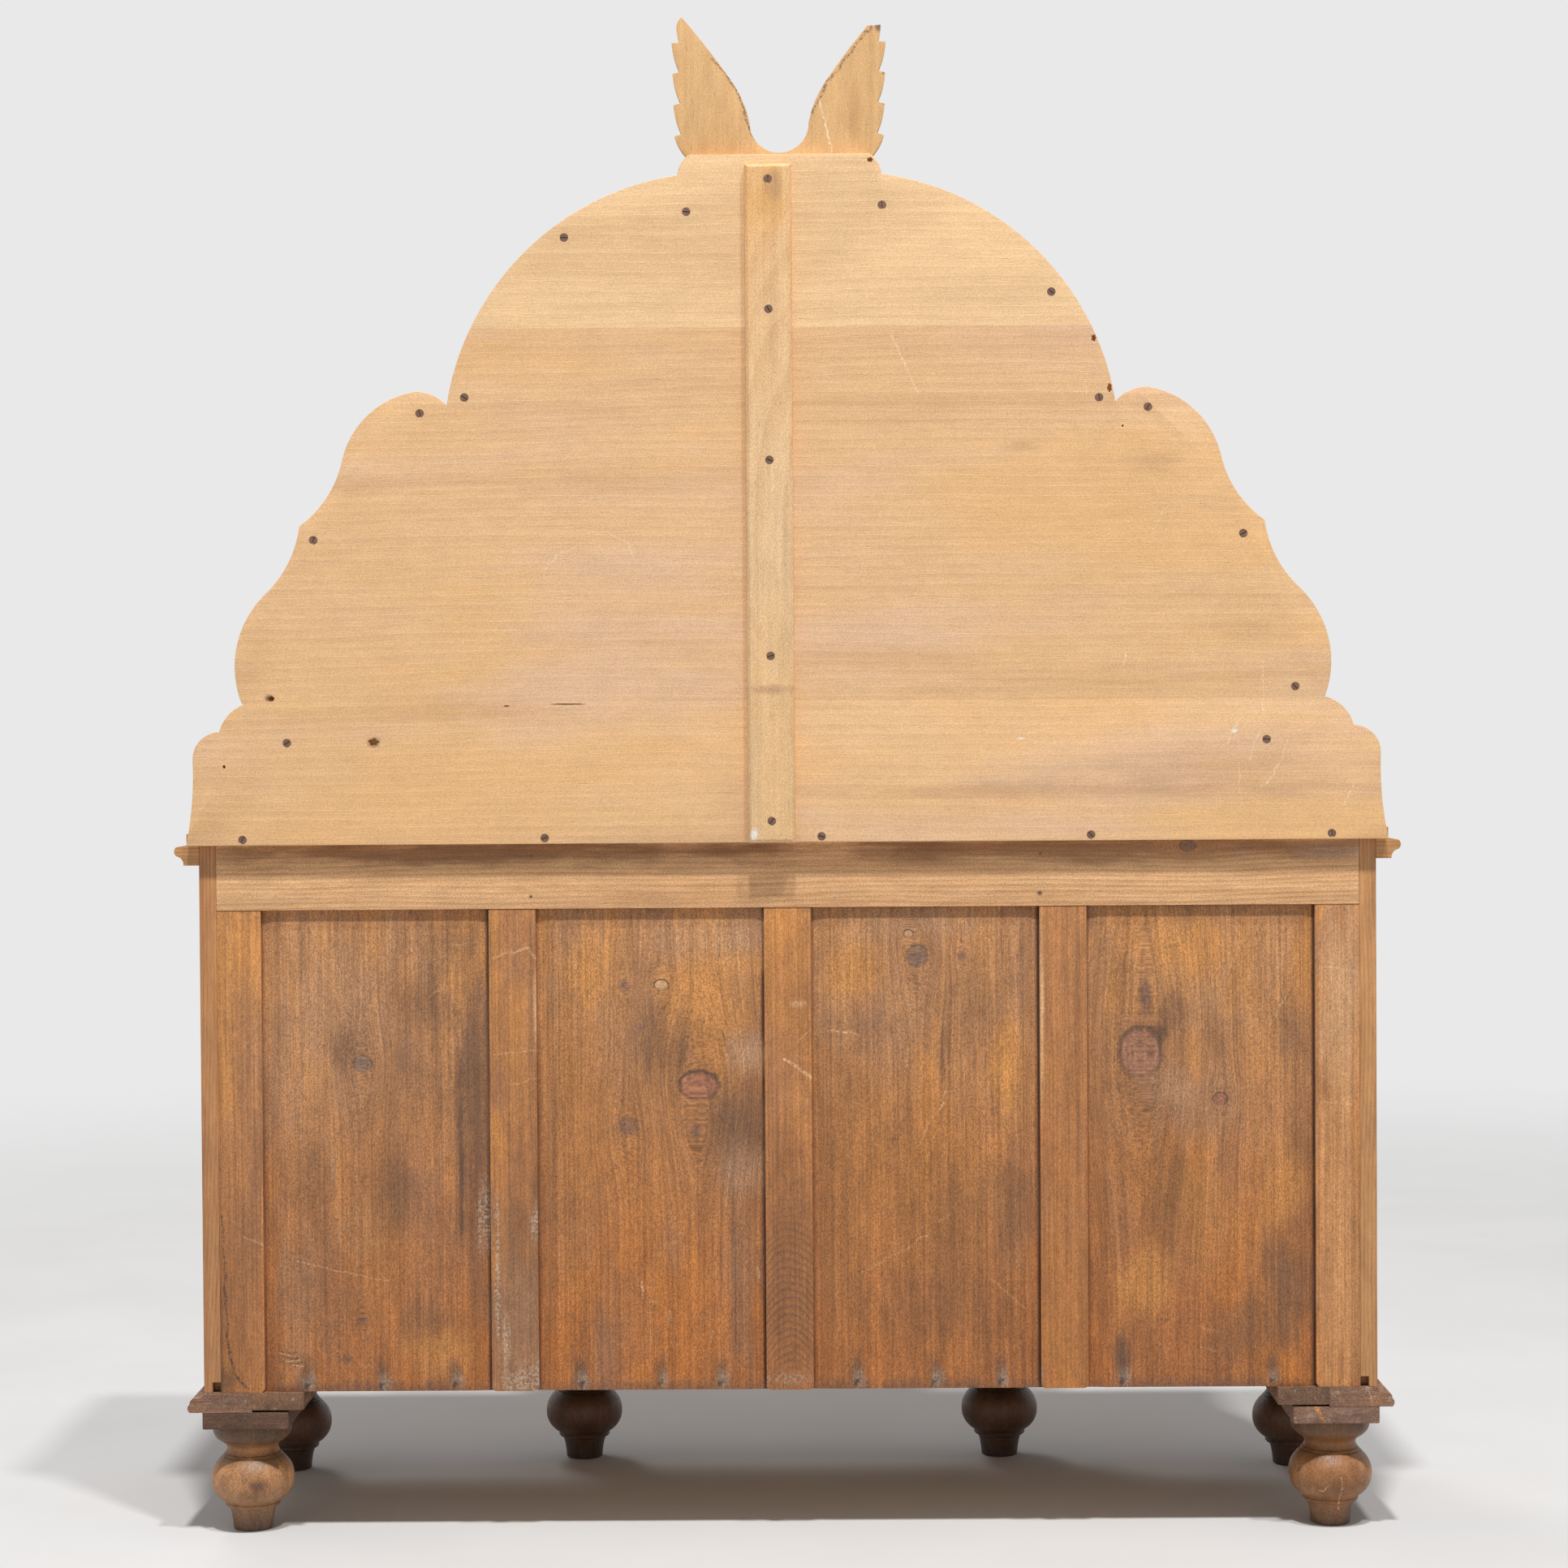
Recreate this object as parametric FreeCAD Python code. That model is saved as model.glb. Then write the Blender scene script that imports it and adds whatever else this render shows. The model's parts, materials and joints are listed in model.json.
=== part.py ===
import FreeCAD, Part

import math
import os

from FreeCAD import Vector

# A pine breakfront cupboard with a shaped gallery back, in millimetres.
# +Z is up, the doors face -Y, and the origin is on the floor under the middle of the overall box.
# "depth" is measured forwards from the back of the case.

# Case
CASE_WIDTH = 1524.0
CASE_HEIGHT = 712.0
SIDE_DEPTH = 445.0
CENTRE_WIDTH = 704.0
BREAK_FORWARD = 66.0
WALL = 22.0
BOTTOM_THICK = 13.5
BOTTOM_REBATE = 11.0

# Back frame
BACK_THICK = 18.0
BACK_RAIL_HEIGHT = 85.0
BACK_STILE_WIDTH = 57.0
BACK_MUNTIN_WIDTH = 61.0
BACK_FRAME_SINK = 1.0
BACK_PANEL_THICK = 10.0
BACK_PANEL_LAP = 8.0
BACK_FIELD_BORDER = 25.0
BACK_FIELD_RAISE = 2.5
BACK_FOOT_ROUND = 6.0
BACK_TENON_LENGTH = 20.0
BACK_TENON_THICK = 5.0
BACK_TENON_SHOULDER = 10.0
BACK_PANEL_COUNT = 4

# Top board and the moulding under its edge
TOP_THICK = 15.0
TOP_OVERHANG = 16.0
TOP_MOULD_HEIGHT = 26.0
TOP_MOULD_OUT = 32.0
TOP_MOULD_FOOT = 20.0
TOP_MOULD_NOSE = 12.0
TOP_MOULD_DROP = 2.0

# Plinth frame, packing blocks, foot plates and turned feet
PLINTH_HEIGHT = 26.0
PLINTH_OUT = 22.0
PLINTH_IN = 62.0
PLINTH_NOSE = 11.0
BLOCK_LENGTH = 67.0
BLOCK_SHORT = 3.0
PLATE_SIDE = 112.0
PLATE_THICK = 22.0
PLATE_EASE = 2.0
FOOT_HEIGHT = 141.0
FOOT_INSET = 53.0
FOOT_SPIGOT_RADIUS = 15.0
FOOT_SPIGOT_FIT = 0.2
FOOT_TOE_RADIUS = 25.6
# Each turned stretch of a foot, from the floor up: change of radius, rise, bulge outwards.
FOOT_ANKLE = (4.9, 29.0, -0.8)
FOOT_STEP = (4.0, 2.0, 0.0)
FOOT_BEAD = (0.0, 5.5, 0.9)
FOOT_BULB = (0.0, 69.5, 19.0)
FOOT_QUIRK = (-2.0, 1.0, 0.0)
FOOT_NECK = (-1.0, 7.0, -1.2)
FOOT_CUP = (19.0, 19.0, 2.5)

# Front frame, drawers and shelves
RAIL_THICK = 22.0
DRAWER_RAIL_DEPTH = 60.0
DRAWER_SPACE = 122.0
RUNNER_WIDTH = 30.0
SHELF_THICK = 18.0
SHELF_ABOVE_BOTTOM = 262.0
SHELF_CLEAR = 1.0
BEARER = 20.0
DRAWER_CLEAR = 1.5
DRAWER_LIFT = 0.3
DRAWER_BACK_CLEAR = 10.0
DRAWER_FRONT_THICK = 20.0
DRAWER_SIDE_THICK = 12.0
DRAWER_SIDE_HEIGHT = 104.0
DRAWER_BOTTOM_THICK = 7.0
DRAWER_BOTTOM_UP = 9.0
DRAWER_GROOVE = 6.0
GROOVE_FIT = 0.2

# Doors
DOOR_THICK = 22.0
DOOR_GAP = 1.5
DOOR_HINGE_GAP = 1.0
DOOR_FREE_GAP = 2.5
DOOR_STILE = 62.0
DOOR_TOP_RAIL = 62.0
DOOR_BOTTOM_RAIL = 76.0
DOOR_GROOVE = 9.0
DOOR_PANEL_THICK = 8.0
DOOR_PANEL_PLAY = 0.5
DOOR_FIELD_RAISE = 5.0
DOOR_FIELD_BORDER = 34.0

# Butt hinges
HINGE_LENGTH = 63.0
HINGE_LEAF_WIDTH = 17.0
HINGE_LEAF_THICK = 1.6
HINGE_KNUCKLE_RADIUS = 4.5
HINGE_KNUCKLE_CLEAR = 0.5
HINGE_PIN_RADIUS = 2.0
HINGE_PIN_FIT = 0.1
HINGE_PLAY = 0.5
HINGE_FROM_END = 70.0

# Turned knobs
KNOB_REACH = 34.0
KNOB_RADIUS = 18.0
KNOB_NECK_RADIUS = 8.0
KNOB_BASE_RADIUS = 12.0
KNOB_BASE = 5.0
KNOB_HEAD = 20.0
KNOB_SPIGOT_RADIUS = 5.0
KNOB_SPIGOT_LENGTH = 14.0
KNOB_SPIGOT_FIT = 0.2
DRAWER_KNOB_SPREAD = 340.0

# Gallery of three edge-glued boards
GALLERY_THICK = 18.0
GALLERY_EDGE = 3.0
MIDDLE_BOARD_HEIGHT = 480.0
# The two upper boards, with all that is fixed to them, stand off the centre of the lower board.
GALLERY_OFF_CENTRE = 4.0
# Each stretch of the right-hand outline, from the bottom corner up: run inwards, rise, bulge outwards.
FLARED_FOOT = (9.5, 112.0, -3.5)
ROUND_SCROLL = (34.5, 35.0, 10.0)
SMALL_LOBE = (33.5, 36.0, 6.0)
BIG_LOBE = (29.5, 139.0, 21.0)
LOBE_HOLLOW = (47.0, 89.0, -9.0)
NECK_HOLLOW = (56.0, 85.0, -9.5)
SHOULDER_LOBE = (94.0, 87.0, 19.5)
SHOULDER_END = (41.0, -18.0, 5.0)
ARCH_RISE = 293.0
ARCH_BULGE = 69.0
CREST_SHOULDER = (15.0, 26.0, 3.5)
CREST_SEAT_HALF = 116.0

# Batten behind the gallery boards
BATTEN_WIDTH = 60.0
BATTEN_THICK = 14.0
BATTEN_OFF_CENTRE = 19.0
BATTEN_BELOW_TOP = 14.0
BATTEN_EASE = 4.0

# Leaf-pair crest, fixed to the front of the gallery
CREST_THICK = 16.0
CREST_CUP_RADIUS = 38.0
CREST_CUP_ABOVE_SEAT = 5.0
LEAF_INNER = (20.0, 50.0, -2.5)
LEAF_TIP = (67.0, 87.0, -1.5)
LEAF_TIP_END = (6.5, -11.0, -1.0)
LEAF_TIP_BACK = (-3.5, -22.0, -1.0)
LEAF_TOOTH_OUT = 10.0
LEAF_TOOTH_PITCH = 40.0
LEAF_TOOTH_STEP = 2.5
LEAF_TOOTH_BULGE = 2.0
LEAF_TOOTH_COUNT = 4
LEAF_TOOTH_TAPER = 1.0
CREST_BASE_SWELL = 22.0
CREST_BASE_DROP = 58.0
CREST_BASE_WIDTH = 16.0
CREST_BASE_RISE = 40.0

# Mouldings and rosettes on the front of the gallery
BAND_INSET = 8.0
BAND_WIDTH = 30.0
BAND_THICK = 8.0
BEAD_INSET = 7.0
BEAD_THICK = 6.0
BAND_CREST_GAP = 8.0
MITRE_REACH = 90.0
MITRE_LEAN = 0.5
ROSETTE_RADIUS = 52.0
ROSETTE_IN = 50.0
ROSETTE_DOWN = 20.0
ROSETTE_THICK = 14.0
ROSETTE_EYE = 16.0
ROSETTE_DISH = 5.0

# Slotted screws
SCREW_HEAD_RADIUS = 5.5
SCREW_HEAD_DEPTH = 4.0
SCREW_RADIUS = 2.0
SCREW_BITE = 7.5
SCREW_EDGE_BITE = 24.0
SCREW_SLOT = 1.4
SCREW_FIT = 0.1
SCREW_SLOT_TURN = 37.0
# Screws beside the outline: which stretch, share of its length, inset from the edge.
RIGHT_SCREWS = (
    ("arch", 0.61, 17.0),
    ("arch", 0.03, 17.0),
    ("shoulder_lobe", 0.98, 28.0),
    ("lobe_hollow", 0.86, 17.0),
)
LEFT_SCREWS = (
    ("arch", 0.38, 25.0),
    ("arch", 0.02, 24.0),
    ("shoulder_end", 0.12, 26.0),
    ("lobe_hollow", 0.90, 34.0),
)
# Screws into each rosette, sideways and up from its centre.
RIGHT_ROSETTE_SCREWS = ((-4.0, -31.0),)
LEFT_ROSETTE_SCREWS = ((-29.0, -34.0), (8.0, 34.0))
# Screws into the foot of each crest leaf, in from the seat's end and down from the seat.
RIGHT_CREST_SCREW = (8.0, -73.0)
LEFT_CREST_SCREW = (11.5, -66.0)
# Screws into the rear edge of the top board.
EDGE_SCREW_FROM_END = 76.0
EDGE_SCREW_PLACES = (312.0, -45.0, -392.0)
# Screws through the batten, up from its lower end, and the last one down from its top.
BATTEN_SCREWS = (28.0, 240.0, 491.0, 684.0)
BATTEN_TOP_SCREW_DOWN = 20.0

# Places worked out from the sizes above
CASE_HALF = CASE_WIDTH / 2
CENTRE_HALF = CENTRE_WIDTH / 2
CENTRE_DEPTH = SIDE_DEPTH + BREAK_FORWARD
BACK_Y = (CENTRE_DEPTH + max(KNOB_REACH, TOP_MOULD_OUT) - GALLERY_THICK - BATTEN_THICK) / 2
PLATE_Z = FOOT_HEIGHT
PLINTH_Z = PLATE_Z + PLATE_THICK
CASE_Z = PLINTH_Z + PLINTH_HEIGHT
TOP_Z = CASE_Z + CASE_HEIGHT
FLOOR_Z = CASE_Z + BOTTOM_THICK
DRAWER_TOP_Z = TOP_Z - TOP_MOULD_HEIGHT
DRAWER_Z = DRAWER_TOP_Z - DRAWER_SPACE
DOOR_TOP_Z = DRAWER_Z - RAIL_THICK
SHELF_Z = FLOOR_Z + SHELF_ABOVE_BOTTOM
SIDE_INNER = CASE_HALF - WALL
CENTRE_INNER = CENTRE_HALF - WALL
# The three bays: inner edges in X and the depth of the front.
BAYS = {
    "left": (-SIDE_INNER, -CENTRE_HALF, SIDE_DEPTH),
    "centre": (-CENTRE_INNER, CENTRE_INNER, CENTRE_DEPTH),
    "right": (CENTRE_HALF, SIDE_INNER, SIDE_DEPTH),
}
# The plan of the case, from the rear right corner round the front to the rear left corner.
PLAN = (
    (CASE_HALF, 0.0),
    (CASE_HALF, SIDE_DEPTH),
    (CENTRE_HALF, SIDE_DEPTH),
    (CENTRE_HALF, CENTRE_DEPTH),
    (-CENTRE_HALF, CENTRE_DEPTH),
    (-CENTRE_HALF, SIDE_DEPTH),
    (-CASE_HALF, SIDE_DEPTH),
    (-CASE_HALF, 0.0),
)
UP = Vector(0, 0, 1)
FORWARD = Vector(0, -1, 0)


# General helpers

def at(x, depth, z):
    return Vector(x, BACK_Y - depth, z)


def block(x, depth, z):
    """A box between two X places, two depths and two heights."""
    corner = at(x[0], depth[1], z[0])
    return Part.makeBox(x[1] - x[0], depth[1] - depth[0], z[1] - z[0], corner)


def mirrored(shape):
    return shape.mirror(Vector(0, 0, 0), Vector(1, 0, 0))


def pair(shape):
    return [shape, mirrored(shape)]


def save(name, solids):
    """One STEP file for a piece, or for a set of like pieces."""
    shape = solids[0] if len(solids) == 1 else Part.makeCompound(solids)
    shape.exportStep("parts/" + name + ".step")


def prism(points, low, high):
    """A plan polygon of (x, depth) points, raised from one height to another."""
    corners = [at(x, depth, low) for x, depth in points]
    return Part.Face(Part.makePolygon(corners + corners[:1])).extrude(UP * (high - low))


def stretch(start, end, bulge):
    """An edge in the X-Z plane: straight, or an arc that bulges to the right of its direction."""
    first = Vector(start[0], 0, start[1])
    last = Vector(end[0], 0, end[1])
    if bulge == 0:
        return Part.LineSegment(first, last).toShape()
    along = last - first
    out = Vector(along.z, 0, -along.x).normalize()
    return Part.Arc(first, (first + last) / 2 + out * bulge, last).toShape()


def follow(start, steps):
    """Edges that run on from a start through (sideways, rise, bulge) steps, and where they end."""
    edges = []
    here = start
    for sideways, rise, bulge in steps:
        there = (here[0] + sideways, here[1] + rise)
        edges.append(stretch(here, there, bulge))
        here = there
    return edges, here


def inwards(step):
    return (-step[0], step[1], step[2])


def face_of(edges):
    return Part.Face(Part.Wire(Part.sortEdges(edges)[0]))


def whole_face(half_edges):
    """The face inside a half outline and its mirror image."""
    return face_of(half_edges + [mirrored(edge) for edge in half_edges])


def slab(face, depth):
    """A face in the X-Z plane, given a thickness between two depths."""
    moved = face.translated(at(0, depth[0], 0))
    return moved.extrude(FORWARD * (depth[1] - depth[0]))


def dome(start, top):
    """An arc in the X-Z plane from a rim up to the Z axis, which it meets squarely."""
    rim, low = start
    rise = top - low
    radius = (rim * rim + rise * rise) / (2 * rise)
    half_turn = math.atan2(rim, radius - rise) / 2
    middle = Vector(radius * math.sin(half_turn), 0, top - radius + radius * math.cos(half_turn))
    return Part.Arc(Vector(rim, 0, low), middle, Vector(0, 0, top)).toShape()


def turned(edges):
    """A solid turned about the Z axis from a profile that starts and ends on that axis."""
    low = edges[0].Vertexes[0].Point.z
    high = edges[-1].Vertexes[-1].Point.z
    return face_of(edges + [stretch((0, high), (0, low), 0)]).revolve(Vector(0, 0, 0), UP, 360)


def faced_forward(shape, x, depth, z):
    """Lays something turned about Z down, so that its axis points out of the front at a place."""
    laid = shape.copy()
    laid.rotate(Vector(0, 0, 0), Vector(1, 0, 0), 90)
    return laid.translated(at(x, depth, z))


# Mouldings that run round the breakfront plan

def plan_normals():
    """The outward direction of each side of the plan."""
    normals = []
    for (x0, d0), (x1, d1) in zip(PLAN, PLAN[1:]):
        length = math.hypot(x1 - x0, d1 - d0)
        normals.append(((d1 - d0) / length, -(x1 - x0) / length))
    return normals


def mitre_directions():
    """How far a corner of the plan moves for each millimetre that its sides move outwards."""
    normals = plan_normals()
    directions = [normals[0]]
    for a, b in zip(normals, normals[1:]):
        share = 1 + a[0] * b[0] + a[1] * b[1]
        directions.append(((a[0] + b[0]) / share, (a[1] + b[1]) / share))
    return directions + [normals[-1]]


def offset_plan(out):
    return [(x + m[0] * out, d + m[1] * out) for (x, d), m in zip(PLAN, mitre_directions())]


def mitred_lengths(section, inner, outer, low, high):
    """Straight lengths of one section round the plan, mitred where they meet."""
    inside = offset_plan(inner)
    outside = offset_plan(outer)
    lengths = []
    for i, normal in enumerate(plan_normals()):
        quad = [inside[i], outside[i], outside[i + 1], inside[i + 1]]
        start = PLAN[i]
        end = PLAN[i + 1]
        spare = outer - inner
        run = math.hypot(end[0] - start[0], end[1] - start[1]) + 2 * spare
        along = Vector(end[0] - start[0], start[1] - end[1], 0).normalize()
        place = FreeCAD.Placement()
        place.Rotation = FreeCAD.Rotation(Vector(normal[0], -normal[1], 0), along, UP, "XZY")
        place.Base = at(start[0], start[1], 0) - along * spare
        bar = section.transformed(place.toMatrix()).extrude(along * run)
        lengths.append(bar.common(prism(quad, low, high)))
    return lengths


def top_moulding():
    """A nose over a cove, fixed under the overhang of the top board."""
    low = TOP_Z - TOP_MOULD_HEIGHT
    nose_low = TOP_Z - TOP_MOULD_DROP - TOP_MOULD_NOSE
    nose_high = TOP_Z - TOP_MOULD_DROP
    swell = TOP_MOULD_NOSE / 4
    nose_start = TOP_MOULD_OUT - swell
    edges = [
        stretch((0, TOP_Z), (0, low), 0),
        stretch((0, low), (TOP_MOULD_FOOT, low), 0),
        stretch((TOP_MOULD_FOOT, low), (nose_start, nose_low), -swell),
        stretch((nose_start, nose_low), (nose_start, nose_high), swell),
        stretch((nose_start, nose_high), (TOP_OVERHANG, TOP_Z), 0),
        stretch((TOP_OVERHANG, TOP_Z), (0, TOP_Z), 0),
    ]
    return mitred_lengths(face_of(edges), 0, TOP_MOULD_OUT, low, TOP_Z)


def plinth_frame():
    """Flat lengths with an ogee on the outer edge, under the case."""
    nose_z = PLINTH_Z + PLINTH_NOSE
    hollow = PLINTH_OUT / 2
    middle_z = (nose_z + CASE_Z) / 2
    swell = PLINTH_NOSE / 4
    nose = PLINTH_OUT - swell
    edges = [
        stretch((-PLINTH_IN, CASE_Z), (-PLINTH_IN, PLINTH_Z), 0),
        stretch((-PLINTH_IN, PLINTH_Z), (nose, PLINTH_Z), 0),
        stretch((nose, PLINTH_Z), (nose, nose_z), swell),
        stretch((nose, nose_z), (hollow, middle_z), swell),
        stretch((hollow, middle_z), (0, CASE_Z), -swell),
        stretch((0, CASE_Z), (-PLINTH_IN, CASE_Z), 0),
    ]
    return mitred_lengths(face_of(edges), -PLINTH_IN, PLINTH_OUT, PLINTH_Z, CASE_Z)


# Feet

def foot_places():
    """Where the feet stand on the right-hand half: (x, depth)."""
    side_x = CASE_HALF - FOOT_INSET
    return (
        (side_x, PLATE_SIDE / 2),
        (side_x, SIDE_DEPTH - FOOT_INSET),
        (CENTRE_HALF - FOOT_INSET, CENTRE_DEPTH - FOOT_INSET),
    )


def foot():
    """A turned bun foot with a tapered ankle and a spigot for its plate."""
    toe = stretch((0, 0), (FOOT_TOE_RADIUS, 0), 0)
    lower = (FOOT_ANKLE, FOOT_STEP, FOOT_BEAD)
    upper = (FOOT_BULB, FOOT_QUIRK, FOOT_NECK, FOOT_CUP)
    edges, end = follow((FOOT_TOE_RADIUS, 0), lower + upper)
    cap_height = FOOT_HEIGHT - end[1]
    spigot_top = FOOT_HEIGHT + PLATE_THICK
    edges.append(stretch(end, (end[0], FOOT_HEIGHT), cap_height / 4))
    edges.append(stretch((end[0], FOOT_HEIGHT), (FOOT_SPIGOT_RADIUS, FOOT_HEIGHT), 0))
    edges.append(stretch((FOOT_SPIGOT_RADIUS, FOOT_HEIGHT), (FOOT_SPIGOT_RADIUS, spigot_top), 0))
    edges.append(stretch((FOOT_SPIGOT_RADIUS, spigot_top), (0, spigot_top), 0))
    return turned([toe] + edges)


def foot_plate(x, depth):
    half = PLATE_SIDE / 2
    plate = block((x - half, x + half), (depth - half, depth + half), (PLATE_Z, PLINTH_Z))
    upright = [e for e in plate.Edges if abs(e.tangentAt(e.FirstParameter).z) > 0.9]
    bore = Part.makeCylinder(FOOT_SPIGOT_RADIUS + FOOT_SPIGOT_FIT, PLATE_THICK, at(x, depth, PLATE_Z))
    return plate.makeChamfer(PLATE_EASE, upright).cut(bore)


def plinth_blocks():
    """Blocks that fill the corner inside the plinth frame, so that each plate bears all over."""
    blocks = []
    for i, (x, depth) in enumerate(foot_places()):
        edge_x = (CASE_HALF if i < 2 else CENTRE_HALF) - PLINTH_IN
        if i == 0:
            reach = (0, PLATE_SIDE)
        else:
            front = SIDE_DEPTH if i == 1 else CENTRE_DEPTH
            reach = (depth - PLATE_SIDE / 2, front - PLINTH_IN)
        blocks += pair(block((edge_x - BLOCK_LENGTH, edge_x), reach, (PLINTH_Z + BLOCK_SHORT, CASE_Z)))
    return blocks


def make_base():
    right = [foot().translated(at(x, depth, 0)) for x, depth in foot_places()]
    plates = [foot_plate(x, depth) for x, depth in foot_places()]
    save("feet", [s for one in right for s in pair(one)])
    save("foot_plates", [s for one in plates for s in pair(one)])
    save("plinth_blocks", plinth_blocks())
    save("plinth_frame", plinth_frame())


# Case

def case_side():
    side = block((SIDE_INNER, CASE_HALF), (0, SIDE_DEPTH), (CASE_Z, TOP_Z))
    rebate = block((SIDE_INNER, SIDE_INNER + BOTTOM_REBATE), (0, SIDE_DEPTH), (CASE_Z, FLOOR_Z))
    return side.cut(rebate)


def partition():
    return block((CENTRE_INNER, CENTRE_HALF), (BACK_THICK, CENTRE_DEPTH), (FLOOR_Z, TOP_Z))


def bottom_board():
    reach = SIDE_INNER + BOTTOM_REBATE
    wings = block((-reach, reach), (BACK_THICK, SIDE_DEPTH), (CASE_Z, FLOOR_Z))
    centre = block((-CENTRE_HALF, CENTRE_HALF), (BACK_THICK, CENTRE_DEPTH), (CASE_Z, FLOOR_Z))
    return wings.fuse(centre).removeSplitter()


def top_board():
    plan = offset_plan(TOP_OVERHANG)
    return prism(plan, TOP_Z, TOP_Z + TOP_THICK)


def front_rails():
    rails = []
    for low, high, front in BAYS.values():
        rails.append(block((low, high), (front - RAIL_THICK, front), (DRAWER_TOP_Z, TOP_Z)))
        rails.append(block((low, high), (front - DRAWER_RAIL_DEPTH, front), (DOOR_TOP_Z, DRAWER_Z)))
    return rails


def bay_strips(width, z, front_set_back):
    """A strip along each wall of each bay, from the back frame towards the front."""
    strips = []
    for low, high, front in BAYS.values():
        reach = (BACK_THICK, front - front_set_back)
        strips.append(block((low, low + width), reach, z))
        strips.append(block((high - width, high), reach, z))
    return strips


def shelf(bay):
    low, high, front = BAYS[bay]
    reach = (BACK_THICK, front - DOOR_THICK - SHELF_CLEAR)
    return block((low, high), reach, (SHELF_Z, SHELF_Z + SHELF_THICK))


def make_case(hinge_mortises):
    right = case_side().cut(hinge_mortises)
    right_partition = partition().cut(hinge_mortises)
    save("case_side_right", [right])
    save("case_side_left", [mirrored(right)])
    save("partition_right", [right_partition])
    save("partition_left", [mirrored(right_partition)])
    save("bottom_board", [bottom_board()])
    save("top_moulding", top_moulding())
    save("front_rails", front_rails())
    save("drawer_runners", bay_strips(RUNNER_WIDTH, (DOOR_TOP_Z, DRAWER_Z), DRAWER_RAIL_DEPTH))
    save("drawer_kickers", bay_strips(RUNNER_WIDTH, (DRAWER_TOP_Z, TOP_Z), RAIL_THICK))
    save("shelf_bearers", bay_strips(BEARER, (SHELF_Z - BEARER, SHELF_Z), DOOR_THICK + BEARER))
    for bay in BAYS:
        save("shelf_" + bay, [shelf(bay)])


# Back frame

def back_upright(low, high, laps):
    """A stile or muntin, rebated inside for the panels and tenoned into the rail."""
    rail_z = TOP_Z - BACK_RAIL_HEIGHT
    panel_depth = BACK_THICK - BACK_PANEL_THICK
    outer = block((low, high), (BACK_FRAME_SINK, panel_depth), (CASE_Z, rail_z))
    beside_panel = [x for x, lap in zip((low, high), laps) if lap]
    corners = [
        e for e in outer.Edges
        if e.BoundBox.ZMax < CASE_Z + BACK_FOOT_ROUND
        and any(abs(e.BoundBox.XMax - x) + abs(e.BoundBox.XMin - x) < BACK_FOOT_ROUND for x in beside_panel)
    ]
    outer = outer.makeFillet(BACK_FOOT_ROUND, corners)
    inner = block((low + laps[0], high - laps[1]), (panel_depth, BACK_THICK), (CASE_Z, rail_z))
    return outer.fuse([inner, back_tenon(low, high, 0)]).removeSplitter()


def back_tenon(low, high, fit):
    rail_z = TOP_Z - BACK_RAIL_HEIGHT
    centre = (BACK_FRAME_SINK + BACK_THICK - BACK_PANEL_THICK) / 2
    half = BACK_TENON_THICK / 2
    return block(
        (low + BACK_TENON_SHOULDER - fit, high - BACK_TENON_SHOULDER + fit),
        (centre - half - fit, centre + half + fit),
        (rail_z, rail_z + BACK_TENON_LENGTH + fit),
    )


def back_layout():
    """The X edges of the stiles and muntins, from the left, and the clear width of one panel."""
    muntins = BACK_PANEL_COUNT - 1
    clear = (2 * SIDE_INNER - 2 * BACK_STILE_WIDTH - muntins * BACK_MUNTIN_WIDTH) / BACK_PANEL_COUNT
    edges = [(-SIDE_INNER, -SIDE_INNER + BACK_STILE_WIDTH)]
    for _ in range(muntins):
        start = edges[-1][1] + clear
        edges.append((start, start + BACK_MUNTIN_WIDTH))
    edges.append((SIDE_INNER - BACK_STILE_WIDTH, SIDE_INNER))
    return edges


def back_panel(sight_x, rail_z):
    """A panel that runs down behind the frame, fielded on its rear face along the top and both sides."""
    depth = BACK_THICK - BACK_PANEL_THICK
    lap = BACK_PANEL_LAP
    border = BACK_FIELD_BORDER
    flat = block((sight_x[0] - lap, sight_x[1] + lap), (depth, BACK_THICK), (CASE_Z, rail_z + lap))
    foot_wire = rectangle(sight_x, depth, (CASE_Z, rail_z))
    field_x = (sight_x[0] + border, sight_x[1] - border)
    field_wire = rectangle(field_x, depth - BACK_FIELD_RAISE, (CASE_Z, rail_z - border))
    field = Part.makeLoft([foot_wire, field_wire], True, True)
    return flat.fuse(field).removeSplitter()


def make_back():
    edges = back_layout()
    rail_z = TOP_Z - BACK_RAIL_HEIGHT
    panel_depth = BACK_THICK - BACK_PANEL_THICK
    lap = BACK_PANEL_LAP
    rail = block((-SIDE_INNER, SIDE_INNER), (0, BACK_THICK), (rail_z, TOP_Z))
    tops = []
    for i in range(BACK_PANEL_COUNT):
        sight_x = (edges[i][1], edges[i + 1][0])
        x = (sight_x[0] - lap, sight_x[1] + lap)
        tops.append(block(x, (panel_depth, BACK_THICK), (rail_z, rail_z + lap)))
        save("back_panel_%d" % (BACK_PANEL_COUNT - i), [back_panel(sight_x, rail_z)])
    mortises = [back_tenon(low, high, GROOVE_FIT) for low, high in edges]
    save("back_rail", [rail.cut(tops + mortises)])
    left = back_upright(*edges[0], (0, lap))
    right = back_upright(*edges[-1], (lap, 0))
    save("back_stiles", [left, right])
    save("back_muntins", [back_upright(*edge, (lap, lap)) for edge in edges[1:-1]])


# Knobs, drawers and doors

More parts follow.
